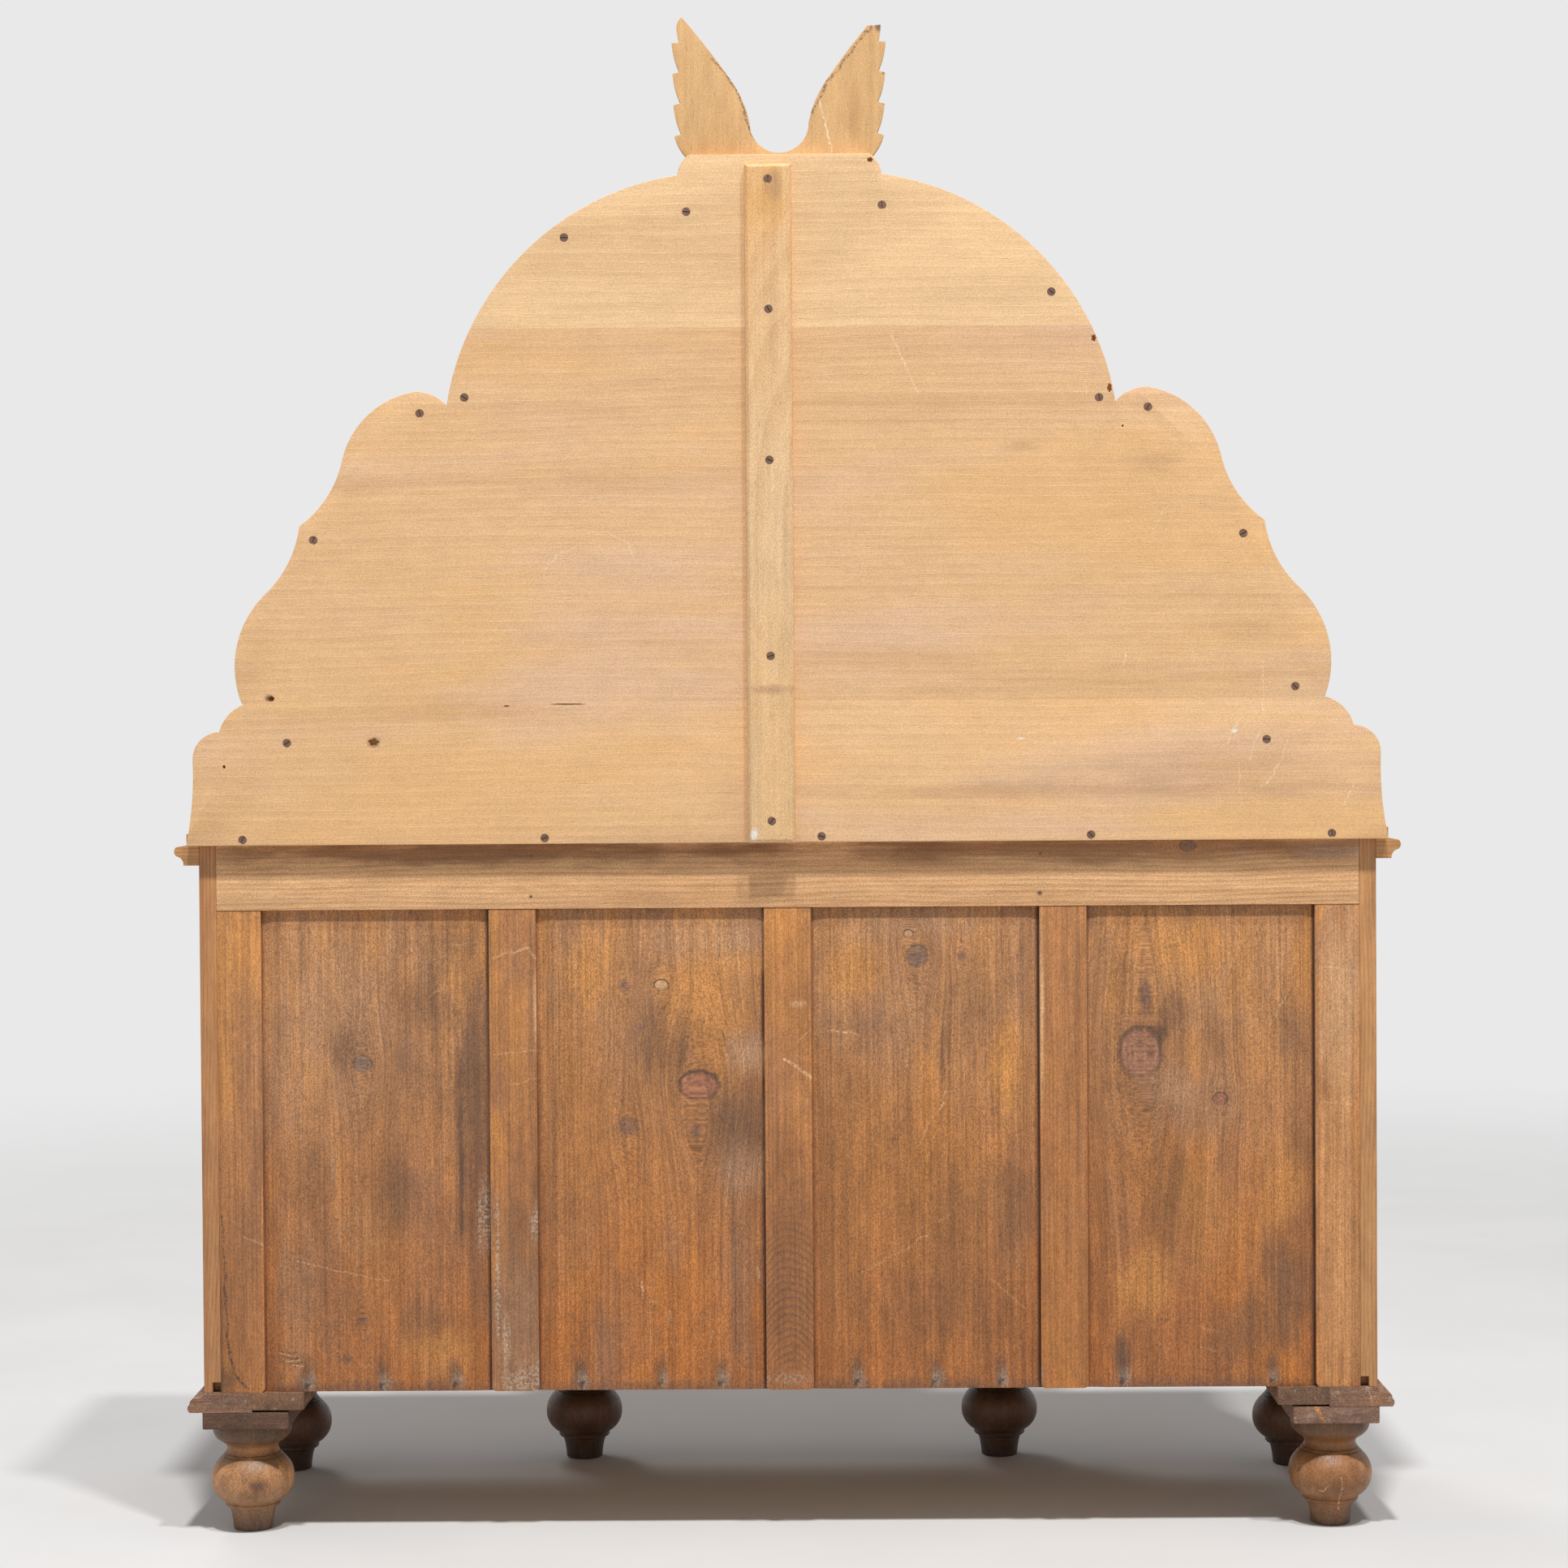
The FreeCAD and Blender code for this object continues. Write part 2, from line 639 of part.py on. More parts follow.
def knob(x, depth, z):
    """A turned knob with a spigot into the wood behind it."""
    neck_end = KNOB_REACH - KNOB_HEAD
    rim_low = neck_end + KNOB_HEAD / 3
    rim_high = KNOB_REACH - KNOB_HEAD / 3
    spigot = KNOB_SPIGOT_RADIUS
    edges = [
        stretch((0, -KNOB_SPIGOT_LENGTH), (spigot, -KNOB_SPIGOT_LENGTH), 0),
        stretch((spigot, -KNOB_SPIGOT_LENGTH), (spigot, 0), 0),
        stretch((spigot, 0), (KNOB_BASE_RADIUS, 0), 0),
        stretch((KNOB_BASE_RADIUS, 0), (KNOB_BASE_RADIUS, KNOB_BASE), 0),
        stretch((KNOB_BASE_RADIUS, KNOB_BASE), (KNOB_NECK_RADIUS, neck_end), 0),
        stretch((KNOB_NECK_RADIUS, neck_end), (KNOB_RADIUS, rim_low), 0),
        stretch((KNOB_RADIUS, rim_low), (KNOB_RADIUS, rim_high), KNOB_BASE / 4),
        dome((KNOB_RADIUS, rim_high), KNOB_REACH),
    ]
    return faced_forward(turned(edges), x, depth, z)


def knob_hole(x, depth, z):
    radius = KNOB_SPIGOT_RADIUS + KNOB_SPIGOT_FIT
    length = KNOB_SPIGOT_LENGTH + KNOB_SPIGOT_FIT
    return Part.makeCylinder(radius, length, at(x, depth - length, z), FORWARD)


def drawer_box(x, front):
    """Two sides, a back and a bottom let into grooves."""
    rear = BACK_THICK + DRAWER_BACK_CLEAR
    inside = front - DRAWER_FRONT_THICK
    low = DRAWER_Z + DRAWER_LIFT
    top = low + DRAWER_SIDE_HEIGHT
    thick = DRAWER_SIDE_THICK
    groove_z = (low + DRAWER_BOTTOM_UP, low + DRAWER_BOTTOM_UP + DRAWER_BOTTOM_THICK)
    board_x = (x[0] + thick - DRAWER_GROOVE + GROOVE_FIT, x[1] - thick + DRAWER_GROOVE - GROOVE_FIT)
    bottom = block(board_x, (rear, inside + DRAWER_GROOVE - GROOVE_FIT), groove_z)
    groove = block(
        (x[0] + thick - DRAWER_GROOVE, x[1] - thick + DRAWER_GROOVE),
        (rear, inside + DRAWER_GROOVE),
        groove_z,
    )
    left = block((x[0], x[0] + thick), (rear, inside), (low, top)).cut(groove)
    right = block((x[1] - thick, x[1]), (rear, inside), (low, top)).cut(groove)
    back = block((x[0] + thick, x[1] - thick), (rear, rear + thick), (groove_z[1], top))
    return [left, right, back, bottom], groove


def make_drawer(bay):
    low, high, front = BAYS[bay]
    x = (low + DRAWER_CLEAR, high - DRAWER_CLEAR)
    z = (DRAWER_Z + DRAWER_LIFT, DRAWER_TOP_Z - DRAWER_CLEAR)
    middle = ((x[0] + x[1]) / 2, (z[0] + z[1]) / 2)
    box, groove = drawer_box(x, front)
    spread = DRAWER_KNOB_SPREAD / 2
    places = [middle[0]] if bay != "centre" else [middle[0] - spread, middle[0] + spread]
    holes = [knob_hole(place, front, middle[1]) for place in places]
    board = block(x, (front - DRAWER_FRONT_THICK, front), z)
    name = "drawer_" + bay
    save(name + "_front", [board.cut([groove] + holes)])
    save(name + "_box", box)
    save(name + "_knobs", [knob(place, front, middle[1]) for place in places])


def hinge(x, front, z):
    """A butt hinge whose case leaf lies on +X: case leaf, door leaf, pin and the two mortises."""
    half_gap = DOOR_HINGE_GAP / 2
    axis_depth = front + HINGE_KNUCKLE_RADIUS + HINGE_KNUCKLE_CLEAR
    third = HINGE_LENGTH / 3
    cuts = (z, z + third, z + 2 * third, z + HINGE_LENGTH)
    plate_depth = (front - HINGE_LEAF_WIDTH, front)
    pin = Part.makeCylinder(HINGE_PIN_RADIUS, HINGE_LENGTH, at(x, axis_depth, z))
    bore = Part.makeCylinder(HINGE_PIN_RADIUS + HINGE_PIN_FIT, HINGE_LENGTH, at(x, axis_depth, z))

    def leaf_x(side):
        return tuple(sorted((x + side * half_gap, x + side * (half_gap + HINGE_LEAF_THICK))))

    def leaf(side, spans):
        pieces = []
        for low, high in spans:
            barrel = Part.makeCylinder(HINGE_KNUCKLE_RADIUS, high - low, at(x, axis_depth, low))
            pieces += [barrel, block(leaf_x(side), (front, axis_depth), (low, high))]
        plate = block(leaf_x(side), plate_depth, (z, z + HINGE_LENGTH))
        return plate.fuse(pieces).cut(bore).removeSplitter()

    play = HINGE_PLAY / 2
    case_leaf = leaf(1, ((cuts[0], cuts[1] - play), (cuts[2] + play, cuts[3])))
    door_leaf = leaf(-1, ((cuts[1] + play, cuts[2] - play),))
    mortises = [block(leaf_x(side), plate_depth, (z, z + HINGE_LENGTH)) for side in (1, -1)]
    return case_leaf, door_leaf, pin, mortises


def door_frame(x, front, z, knob_x):
    """Two grooved stiles with two rails stub-tenoned between them."""
    depth = (front - DOOR_THICK, front)
    centre = front - DOOR_THICK / 2
    groove_depth = (centre - DOOR_PANEL_THICK / 2, centre + DOOR_PANEL_THICK / 2)
    inner_x = (x[0] + DOOR_STILE, x[1] - DOOR_STILE)
    inner_z = (z[0] + DOOR_BOTTOM_RAIL, z[1] - DOOR_TOP_RAIL)
    groove_x = (inner_x[0] - DOOR_GROOVE, inner_x[1] + DOOR_GROOVE)
    groove_z = (inner_z[0] - DOOR_GROOVE, inner_z[1] + DOOR_GROOVE)
    groove = block(groove_x, groove_depth, z)
    stiles = [block((x[0], inner_x[0]), depth, z), block((inner_x[1], x[1]), depth, z)]
    stiles = [stile.cut(groove) for stile in stiles]
    panel_space = block(groove_x, groove_depth, groove_z)
    rails = []
    for span in ((z[0], inner_z[0]), (inner_z[1], z[1])):
        rail = block(inner_x, depth, span).fuse(block(groove_x, groove_depth, span))
        rails.append(rail.cut(panel_space).removeSplitter())
    hole = knob_hole(knob_x, front, (z[0] + z[1]) / 2)
    panel_x = (groove_x[0] + DOOR_PANEL_PLAY, groove_x[1] - DOOR_PANEL_PLAY)
    panel_z = (groove_z[0] + DOOR_PANEL_PLAY, groove_z[1] - DOOR_PANEL_PLAY)
    panel = fielded_panel(panel_x, groove_depth, panel_z, inner_x, inner_z)
    return [stile.cut(hole) for stile in stiles] + rails, panel


def rectangle(x, depth, z):
    places = ((x[0], z[0]), (x[1], z[0]), (x[1], z[1]), (x[0], z[1]))
    corners = [at(px, depth, pz) for px, pz in places]
    return Part.makePolygon(corners + corners[:1])


def fielded_panel(x, depth, z, sight_x, sight_z):
    """A panel whose middle stands up within a bevelled border."""
    field_x = (sight_x[0] + DOOR_FIELD_BORDER, sight_x[1] - DOOR_FIELD_BORDER)
    field_z = (sight_z[0] + DOOR_FIELD_BORDER, sight_z[1] - DOOR_FIELD_BORDER)
    foot_wire = rectangle(sight_x, depth[1], sight_z)
    field_wire = rectangle(field_x, depth[1] + DOOR_FIELD_RAISE, field_z)
    field = Part.makeLoft([foot_wire, field_wire], True, True)
    return block(x, depth, z).fuse(field).removeSplitter()


def make_door(name, hinge_x, free_x, front):
    """A door hinged on the right of its opening: its pieces, its case leaves, pins and case mortises."""
    axis_x = hinge_x - DOOR_HINGE_GAP / 2
    x = (free_x, hinge_x - DOOR_HINGE_GAP)
    z = (FLOOR_Z + DOOR_GAP, DOOR_TOP_Z - DOOR_GAP)
    knob_x = x[0] + DOOR_STILE / 2
    frame, panel = door_frame(x, front, z, knob_x)
    heights = (z[0] + HINGE_FROM_END, z[1] - HINGE_FROM_END - HINGE_LENGTH)
    hinges = [hinge(axis_x, front, height) for height in heights]
    door_mortises = [h[3][1] for h in hinges]
    frame = [piece.cut(door_mortises) for piece in frame]
    knob_piece = knob(knob_x, front, (z[0] + z[1]) / 2)
    leaves = [h[1] for h in hinges]
    pieces = {"frame": frame, "panel": [panel], "knob": [knob_piece], "hinge_leaves": leaves}
    for side, turn in (("right", lambda s: s), ("left", mirrored)):
        for kind, solids in pieces.items():
            save("door_%s_%s_%s" % (name, side, kind), [turn(s) for s in solids])
    return hinges


def make_doors():
    outer = make_door("outer", SIDE_INNER, CENTRE_HALF + DOOR_FREE_GAP, SIDE_DEPTH)
    inner = make_door("inner", CENTRE_INNER, DOOR_GAP, CENTRE_DEPTH)
    hinges = outer + inner
    save("hinge_leaves_case", [s for h in hinges for s in pair(h[0])])
    save("hinge_pins", [s for h in hinges for s in pair(h[2])])
    return [h[3][0] for h in hinges]


# Gallery

def gallery_stretches():
    """The named stretches of the right-hand outline, from the bottom corner up to the crest's seat."""
    named = {
        "flared_foot": FLARED_FOOT,
        "round_scroll": ROUND_SCROLL,
        "small_lobe": SMALL_LOBE,
        "big_lobe": BIG_LOBE,
        "lobe_hollow": LOBE_HOLLOW,
        "neck_hollow": NECK_HOLLOW,
        "shoulder_lobe": SHOULDER_LOBE,
        "shoulder_end": SHOULDER_END,
    }
    start_x = CASE_HALF + TOP_OVERHANG - GALLERY_EDGE
    arch_run = start_x - sum(s[0] for s in named.values()) - CREST_SEAT_HALF - CREST_SHOULDER[0]
    named["arch"] = (arch_run, ARCH_RISE, ARCH_BULGE)
    named["crest_shoulder"] = CREST_SHOULDER
    edges, _ = follow((start_x, TOP_Z), [inwards(s) for s in named.values()])
    return dict(zip(named, edges))


GALLERY = gallery_stretches()
SEAT_Z = GALLERY["crest_shoulder"].Vertexes[-1].Point.z
LOBE_CUSP = GALLERY["small_lobe"].Vertexes[-1].Point
ARCH_FOOT = GALLERY["shoulder_end"].Vertexes[-1].Point
GALLERY_TOP = SEAT_Z
JOINT_LOW = LOBE_CUSP.z
JOINT_HIGH = JOINT_LOW + MIDDLE_BOARD_HEIGHT


def gallery_face():
    edges = list(GALLERY.values())
    start = edges[0].Vertexes[0].Point
    seat = stretch((CREST_SEAT_HALF, SEAT_Z), (0, SEAT_Z), 0)
    foot_line = stretch((0, start.z), (start.x, start.z), 0)
    return whole_face([foot_line] + edges + [seat])


def crest_face():
    """Two toothed leaves that spring from a cup, over a scalloped base on the gallery."""
    cup_z = SEAT_Z + CREST_CUP_ABOVE_SEAT + CREST_CUP_RADIUS
    radius = CREST_CUP_RADIUS
    middle = radius * math.sqrt(0.5)
    cup = Part.Arc(
        Vector(0, 0, cup_z - radius), Vector(middle, 0, cup_z - middle), Vector(radius, 0, cup_z)
    ).toShape()
    leaf, tip = follow((radius, cup_z), (LEAF_INNER, LEAF_TIP, LEAF_TIP_END))
    teeth = [LEAF_TIP_BACK, (LEAF_TOOTH_OUT, 0, 0)]
    fall = LEAF_TOOTH_PITCH - LEAF_TOOTH_STEP
    for _ in range(LEAF_TOOTH_COUNT - 1):
        teeth.append((-LEAF_TOOTH_OUT, -fall, -LEAF_TOOTH_BULGE))
        teeth.append((LEAF_TOOTH_OUT - LEAF_TOOTH_TAPER, -LEAF_TOOTH_STEP, 0))
    edge, end = follow(tip, teeth)
    base_top = (CREST_SEAT_HALF + CREST_SHOULDER[2], SEAT_Z)
    last_tooth = stretch(end, base_top, -LEAF_TOOTH_BULGE)
    base_low = (base_top[0] - CREST_BASE_WIDTH / 2, SEAT_Z - CREST_BASE_DROP - CREST_BASE_RISE)
    base_side = (base_top[0], SEAT_Z - CREST_SHOULDER[1])
    upright = stretch(base_top, base_side, 0)
    swell = stretch(base_side, base_low, -CREST_BASE_SWELL)
    scallop = stretch(base_low, (0, base_low[1] + CREST_BASE_RISE / 2), CREST_BASE_RISE / 4)
    return whole_face([cup] + leaf + edge + [last_tooth, upright, swell, scallop])


def moulding_band(face, inset, width, depth):
    """A strip that follows the outline of a face on its front."""
    outer = slab(face.makeOffset2D(-inset), depth)
    inner = slab(face.makeOffset2D(-inset - width), depth)
    return outer.cut(inner)


def front_mouldings(face, crest):
    """A stepped moulding along the outline, mitred at the foot of the arch, with a rosette below."""
    flat = moulding_band(face, BAND_INSET, BAND_WIDTH, (0, BAND_THICK))
    reach = BAND_THICK + BEAD_THICK
    bead_width = BAND_WIDTH - 2 * BEAD_INSET
    bead = moulding_band(face, BAND_INSET + BEAD_INSET, bead_width, (BAND_THICK, reach))
    band = flat.fuse(bead).removeSplitter()
    limit_x = crest.BoundBox.XMax + BAND_CREST_GAP
    mitre = Vector(-MITRE_LEAN, 0, -1).normalize() * MITRE_REACH
    inner = ARCH_FOOT + mitre
    outer = ARCH_FOOT - mitre
    corners = [
        (outer.x, outer.z),
        (inner.x, inner.z),
        (limit_x, inner.z),
        (limit_x, GALLERY_TOP),
        (outer.x, GALLERY_TOP),
    ]
    lines = [stretch(a, b, 0) for a, b in zip(corners, corners[1:] + corners[:1])]
    arch_space = slab(face_of(lines), (0, reach))
    arch = band.common(arch_space)
    low_z = LOBE_CUSP.z - ROSETTE_DOWN + ROSETTE_RADIUS
    side_space = block((inner.x, CASE_HALF), (0, reach), (low_z, GALLERY_TOP)).cut(arch_space)
    return arch, band.common(side_space)


def rosette_place():
    return (LOBE_CUSP.x - ROSETTE_IN, LOBE_CUSP.z - ROSETTE_DOWN)


def rosette():
    """A turned boss with a raised eye in a dished face."""
    edge = ROSETTE_THICK / 2
    edges = [
        stretch((0, 0), (ROSETTE_RADIUS, 0), 0),
        stretch((ROSETTE_RADIUS, 0), (ROSETTE_RADIUS, edge), 0),
        stretch((ROSETTE_RADIUS, edge), (ROSETTE_RADIUS - edge, ROSETTE_THICK), edge / 4),
        stretch((ROSETTE_RADIUS - edge, ROSETTE_THICK), (ROSETTE_EYE, edge), -ROSETTE_DISH / 2),
        dome((ROSETTE_EYE, edge), ROSETTE_THICK),
    ]
    x, z = rosette_place()
    return faced_forward(turned(edges), x, 0, z)


def batten_x():
    return (BATTEN_OFF_CENTRE - BATTEN_WIDTH / 2, BATTEN_OFF_CENTRE + BATTEN_WIDTH / 2)


def batten():
    depth = (-GALLERY_THICK - BATTEN_THICK, -GALLERY_THICK)
    strip = block(batten_x(), depth, (TOP_Z, GALLERY_TOP - BATTEN_BELOW_TOP))
    rear = [e for e in strip.Edges if abs(e.CenterOfMass.y - strip.BoundBox.YMax) < 0.01]
    return strip.makeChamfer(BATTEN_EASE, rear)


# Screws

def screw(x, depth, z, length, fit, turn):
    """A countersunk screw driven forwards from a rear face, with a clearance all round it."""
    head = SCREW_HEAD_RADIUS + fit
    shank = SCREW_RADIUS + fit
    head_depth = SCREW_HEAD_DEPTH
    cone = Part.makeCone(head, shank, head_depth, at(x, depth, z), FORWARD)
    rod = Part.makeCylinder(shank, length + fit - head_depth, at(x, depth + head_depth, z), FORWARD)
    body = cone.fuse(rod).removeSplitter()
    if fit:
        return body
    slot = Part.makeBox(4 * head, SCREW_SLOT, SCREW_SLOT, Vector(-2 * head, -SCREW_SLOT, -SCREW_SLOT / 2))
    slot.rotate(Vector(0, 0, 0), FORWARD, turn)
    return body.cut(slot.translated(at(x, depth, z)))


def outline_point(name, share, inset):
    """A point beside a stretch of the outline, set in from the edge."""
    edge = GALLERY[name]
    first, last = edge.FirstParameter, edge.LastParameter
    where = first + (last - first) * share
    along = edge.tangentAt(where)
    inside = Vector(-along.z, 0, along.x)
    if inside.dot(Vector(0, 0, TOP_Z) - edge.valueAt(where)) < 0:
        inside = inside * -1
    point = edge.valueAt(where) + inside * inset
    return (point.x, point.z)


def screw_list():
    """Every screw as (x, depth of its head, z, length)."""
    through = GALLERY_THICK + SCREW_BITE
    spots = []
    for side, outline, boss, crest in (
        (1, RIGHT_SCREWS, RIGHT_ROSETTE_SCREWS, RIGHT_CREST_SCREW),
        (-1, LEFT_SCREWS, LEFT_ROSETTE_SCREWS, LEFT_CREST_SCREW),
    ):
        centre = rosette_place()
        spots += [(side * x, z) for x, z in (outline_point(*s) for s in outline)]
        spots += [(side * (centre[0] + dx), centre[1] + dz) for dx, dz in boss]
        spots.append((side * (CREST_SEAT_HALF + crest[0]), SEAT_Z + crest[1]))
    screws = [(x, -GALLERY_THICK, z, through) for x, z in spots]
    end_x = CASE_HALF + TOP_OVERHANG - EDGE_SCREW_FROM_END
    edge_z = TOP_Z + TOP_THICK / 2
    for x in (end_x, *EDGE_SCREW_PLACES, -end_x):
        screws.append((x, -GALLERY_THICK, edge_z, GALLERY_THICK + SCREW_EDGE_BITE))
    rear = -GALLERY_THICK - BATTEN_THICK
    batten_top = GALLERY_TOP - BATTEN_BELOW_TOP
    for z in (*(TOP_Z + up for up in BATTEN_SCREWS), batten_top - BATTEN_TOP_SCREW_DOWN):
        screws.append((BATTEN_OFF_CENTRE, rear, z, BATTEN_THICK + SCREW_BITE))
    return screws


def make_gallery():
    face = gallery_face()
    board = slab(face, (-GALLERY_THICK, 0))
    width = CASE_WIDTH
    cuts = (TOP_Z, JOINT_LOW, JOINT_HIGH, GALLERY_TOP)
    off_centre = Vector(GALLERY_OFF_CENTRE, 0, 0)
    screws = screw_list()
    holes = [screw(*s, SCREW_FIT, 0) for s in screws]

    def drilled(shape):
        box = shape.BoundBox
        near = [hole for hole in holes if box.intersect(hole.BoundBox)]
        return shape.cut(near) if near else shape

    for i, name in enumerate(("lower", "middle", "upper")):
        layer = block((-width, width), (-GALLERY_THICK, 0), (cuts[i], cuts[i + 1]))
        set_board = board.translated(off_centre) if i else board
        save("gallery_board_" + name, [drilled(set_board.common(layer))])
    crest = slab(crest_face(), (0, CREST_THICK))
    arch, side = front_mouldings(face, crest)
    save("gallery_batten", [drilled(batten())])
    save("crest", [drilled(crest.translated(off_centre))])
    save("arch_mouldings", [drilled(s.translated(off_centre)) for s in pair(arch)])
    save("side_mouldings", [drilled(s.translated(off_centre)) for s in pair(side) + pair(rosette())])
    save("top_board", [drilled(top_board())])
    save("gallery_screws", [screw(*s, 0, SCREW_SLOT_TURN * i) for i, s in enumerate(screws)])


os.makedirs("parts", exist_ok=True)
make_base()
case_mortises = make_doors()
make_case(case_mortises)
make_back()
for bay_name in BAYS:
    make_drawer(bay_name)
make_gallery()
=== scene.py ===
import json
import math

import bmesh
import bpy
from mathutils import Matrix, Vector

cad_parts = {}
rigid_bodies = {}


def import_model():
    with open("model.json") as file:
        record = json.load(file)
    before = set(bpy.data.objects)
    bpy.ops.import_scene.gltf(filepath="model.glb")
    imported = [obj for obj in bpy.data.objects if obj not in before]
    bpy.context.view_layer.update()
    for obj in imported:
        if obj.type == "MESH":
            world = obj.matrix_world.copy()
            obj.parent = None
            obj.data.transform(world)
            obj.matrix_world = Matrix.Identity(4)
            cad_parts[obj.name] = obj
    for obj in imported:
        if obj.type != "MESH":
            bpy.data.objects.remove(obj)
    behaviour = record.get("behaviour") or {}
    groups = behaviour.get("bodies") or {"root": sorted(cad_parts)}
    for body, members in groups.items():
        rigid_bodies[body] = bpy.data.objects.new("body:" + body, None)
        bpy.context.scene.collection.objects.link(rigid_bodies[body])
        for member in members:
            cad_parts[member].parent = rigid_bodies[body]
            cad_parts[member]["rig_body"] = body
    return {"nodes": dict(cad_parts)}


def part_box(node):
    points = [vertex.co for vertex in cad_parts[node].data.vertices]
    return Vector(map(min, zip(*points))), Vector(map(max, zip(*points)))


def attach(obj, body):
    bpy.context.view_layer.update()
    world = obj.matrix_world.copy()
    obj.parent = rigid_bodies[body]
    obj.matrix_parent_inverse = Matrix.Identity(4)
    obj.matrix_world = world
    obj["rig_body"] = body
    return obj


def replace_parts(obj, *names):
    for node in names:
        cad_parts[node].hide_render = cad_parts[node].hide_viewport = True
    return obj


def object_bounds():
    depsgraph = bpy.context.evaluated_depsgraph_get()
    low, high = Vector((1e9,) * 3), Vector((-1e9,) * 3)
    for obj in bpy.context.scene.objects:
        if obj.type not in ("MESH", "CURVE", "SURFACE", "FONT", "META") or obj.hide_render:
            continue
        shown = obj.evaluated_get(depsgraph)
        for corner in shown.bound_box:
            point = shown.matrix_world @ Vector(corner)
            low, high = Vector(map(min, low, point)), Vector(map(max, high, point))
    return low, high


# A pine breakfront cupboard with a shaped gallery, seen from behind.
# Lengths are metres in the CAD frame. Places of marks are millimetres: X, then height.

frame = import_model()
cad_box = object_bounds()
NODES = frame["nodes"]
MM = 0.001
AXES = "XYZ"

# Camera: the photograph is 1932 pixels square.
PHOTO_SIDE = 1932
FOCAL_PIXELS = 3950
SENSOR_MM = 36.0
CAMERA_PLACE = (-0.0168, 4.4035, 1.0557)
LEVEL_PIXEL = (985, 890)
CAMERA_ROLL = 0.0065

# Light and stage
LAMP_DISTANCE = 9.0
# Each lamp's direction from the object, its size and its power
LAMPS = {
    "key_middle": ((0.0, 1.0, 2.25), 0.6, 618.0),
    "key_side": ((-0.545, 1.0, 2.25), 0.6, 353.0),
    "front_fill": ((0.5, -1.0, 0.8), 3.0, 160.0),
}
AMBIENT = 0.36
WHITE = (1, 1, 1)
BACKDROP = (0.815, 0.815, 0.815)
FLOOR_COLOUR = (0.6, 0.595, 0.59)
FLOOR_HALF = 9.0
FLOOR_FADE = (2.0, 5.5)
FLOOR_CLOUDS = (3.0, 3.0)
FLOOR_LEVELS = (0.3, 0.7)
FLOOR_CLOUD_SHARE = 0.1

# Finishes, as linear red, green and blue
GALLERY_PALE = (0.8, 0.505, 0.265)
GALLERY_DEEP = (0.56, 0.31, 0.145)
GALLERY_WARM = (0.78, 0.46, 0.2)
GALLERY_PINK = (0.74, 0.48, 0.3)
UPPER_PALE = (0.81, 0.54, 0.29)
UPPER_DEEP = (0.64, 0.39, 0.19)
BATTEN_STAIN = (0.66, 0.35, 0.11)
CREST_PALE = (0.7, 0.424, 0.186)
CREST_DEEP = (0.51, 0.275, 0.105)
PALE_SCRATCH = (0.9, 0.72, 0.48)
BACK_PALE = (0.53, 0.252, 0.098)
BACK_DEEP = (0.23, 0.098, 0.036)
RUST = (0.42, 0.168, 0.042)
GREY = (0.185, 0.09, 0.045)
PLUM = (0.31, 0.152, 0.08)
ORANGE = (0.6, 0.258, 0.064)
ASH = (0.47, 0.26, 0.14)
STILE_DUSTY = (0.62, 0.36, 0.18)
STILE_WARM = (0.64, 0.31, 0.12)
POWDER = (0.5, 0.4, 0.3)
NAIL_GREY = (0.33, 0.275, 0.215)
BASE_PALE = (0.27, 0.145, 0.088)
BASE_DEEP = (0.12, 0.062, 0.036)
BASE_WARM = (0.33, 0.15, 0.075)
BASE_ASH = (0.27, 0.175, 0.14)
BLOCK_PALE = (0.185, 0.1, 0.056)
BLOCK_DEEP = (0.08, 0.042, 0.024)
FOOT_PALE = (0.49, 0.245, 0.104)
FOOT_DEEP = (0.215, 0.096, 0.04)
FOOT_WARM = (0.47, 0.205, 0.072)
FOOT_BROWN = (0.24, 0.094, 0.028)
DUST = (0.5, 0.36, 0.265)
PLASTER = (0.88, 0.85, 0.79)
SCRATCHED = (0.73, 0.46, 0.24)
SOOT = (0.06, 0.034, 0.025)
KNOT_DARK = (0.15, 0.076, 0.05)
SMUDGE = (0.42, 0.225, 0.13)
# Woods, as their pale and deep colour
BATTEN_WOOD = ((0.82, 0.56, 0.31), (0.65, 0.39, 0.19))
STILE_WOOD = ((0.52, 0.236, 0.088), (0.255, 0.104, 0.038))
MUNTIN_WOOD = ((0.45, 0.192, 0.066), (0.22, 0.084, 0.028))
RAIL_WOOD = ((0.86, 0.52, 0.26), (0.56, 0.275, 0.115))
WAXED_WOOD = ((0.6, 0.31, 0.12), (0.39, 0.165, 0.052))
INSIDE_WOOD = ((0.68, 0.44, 0.235), (0.5, 0.285, 0.13))
PLATE_WOOD = ((0.232, 0.122, 0.072), (0.102, 0.052, 0.03))

# Metals: the material's name, its colour, the worn colour, roughness and metallic share
METALS = {
    "brass": ("old_brass", (0.55, 0.38, 0.16), (0.25, 0.15, 0.06), 0.35, 1.0),
    "iron": ("old_iron", (0.16, 0.094, 0.068), (0.27, 0.145, 0.09), 0.55, 0.3),
    "nails": ("nail_iron", (0.22, 0.18, 0.145), (0.07, 0.046, 0.036), 0.65, 0.2),
}

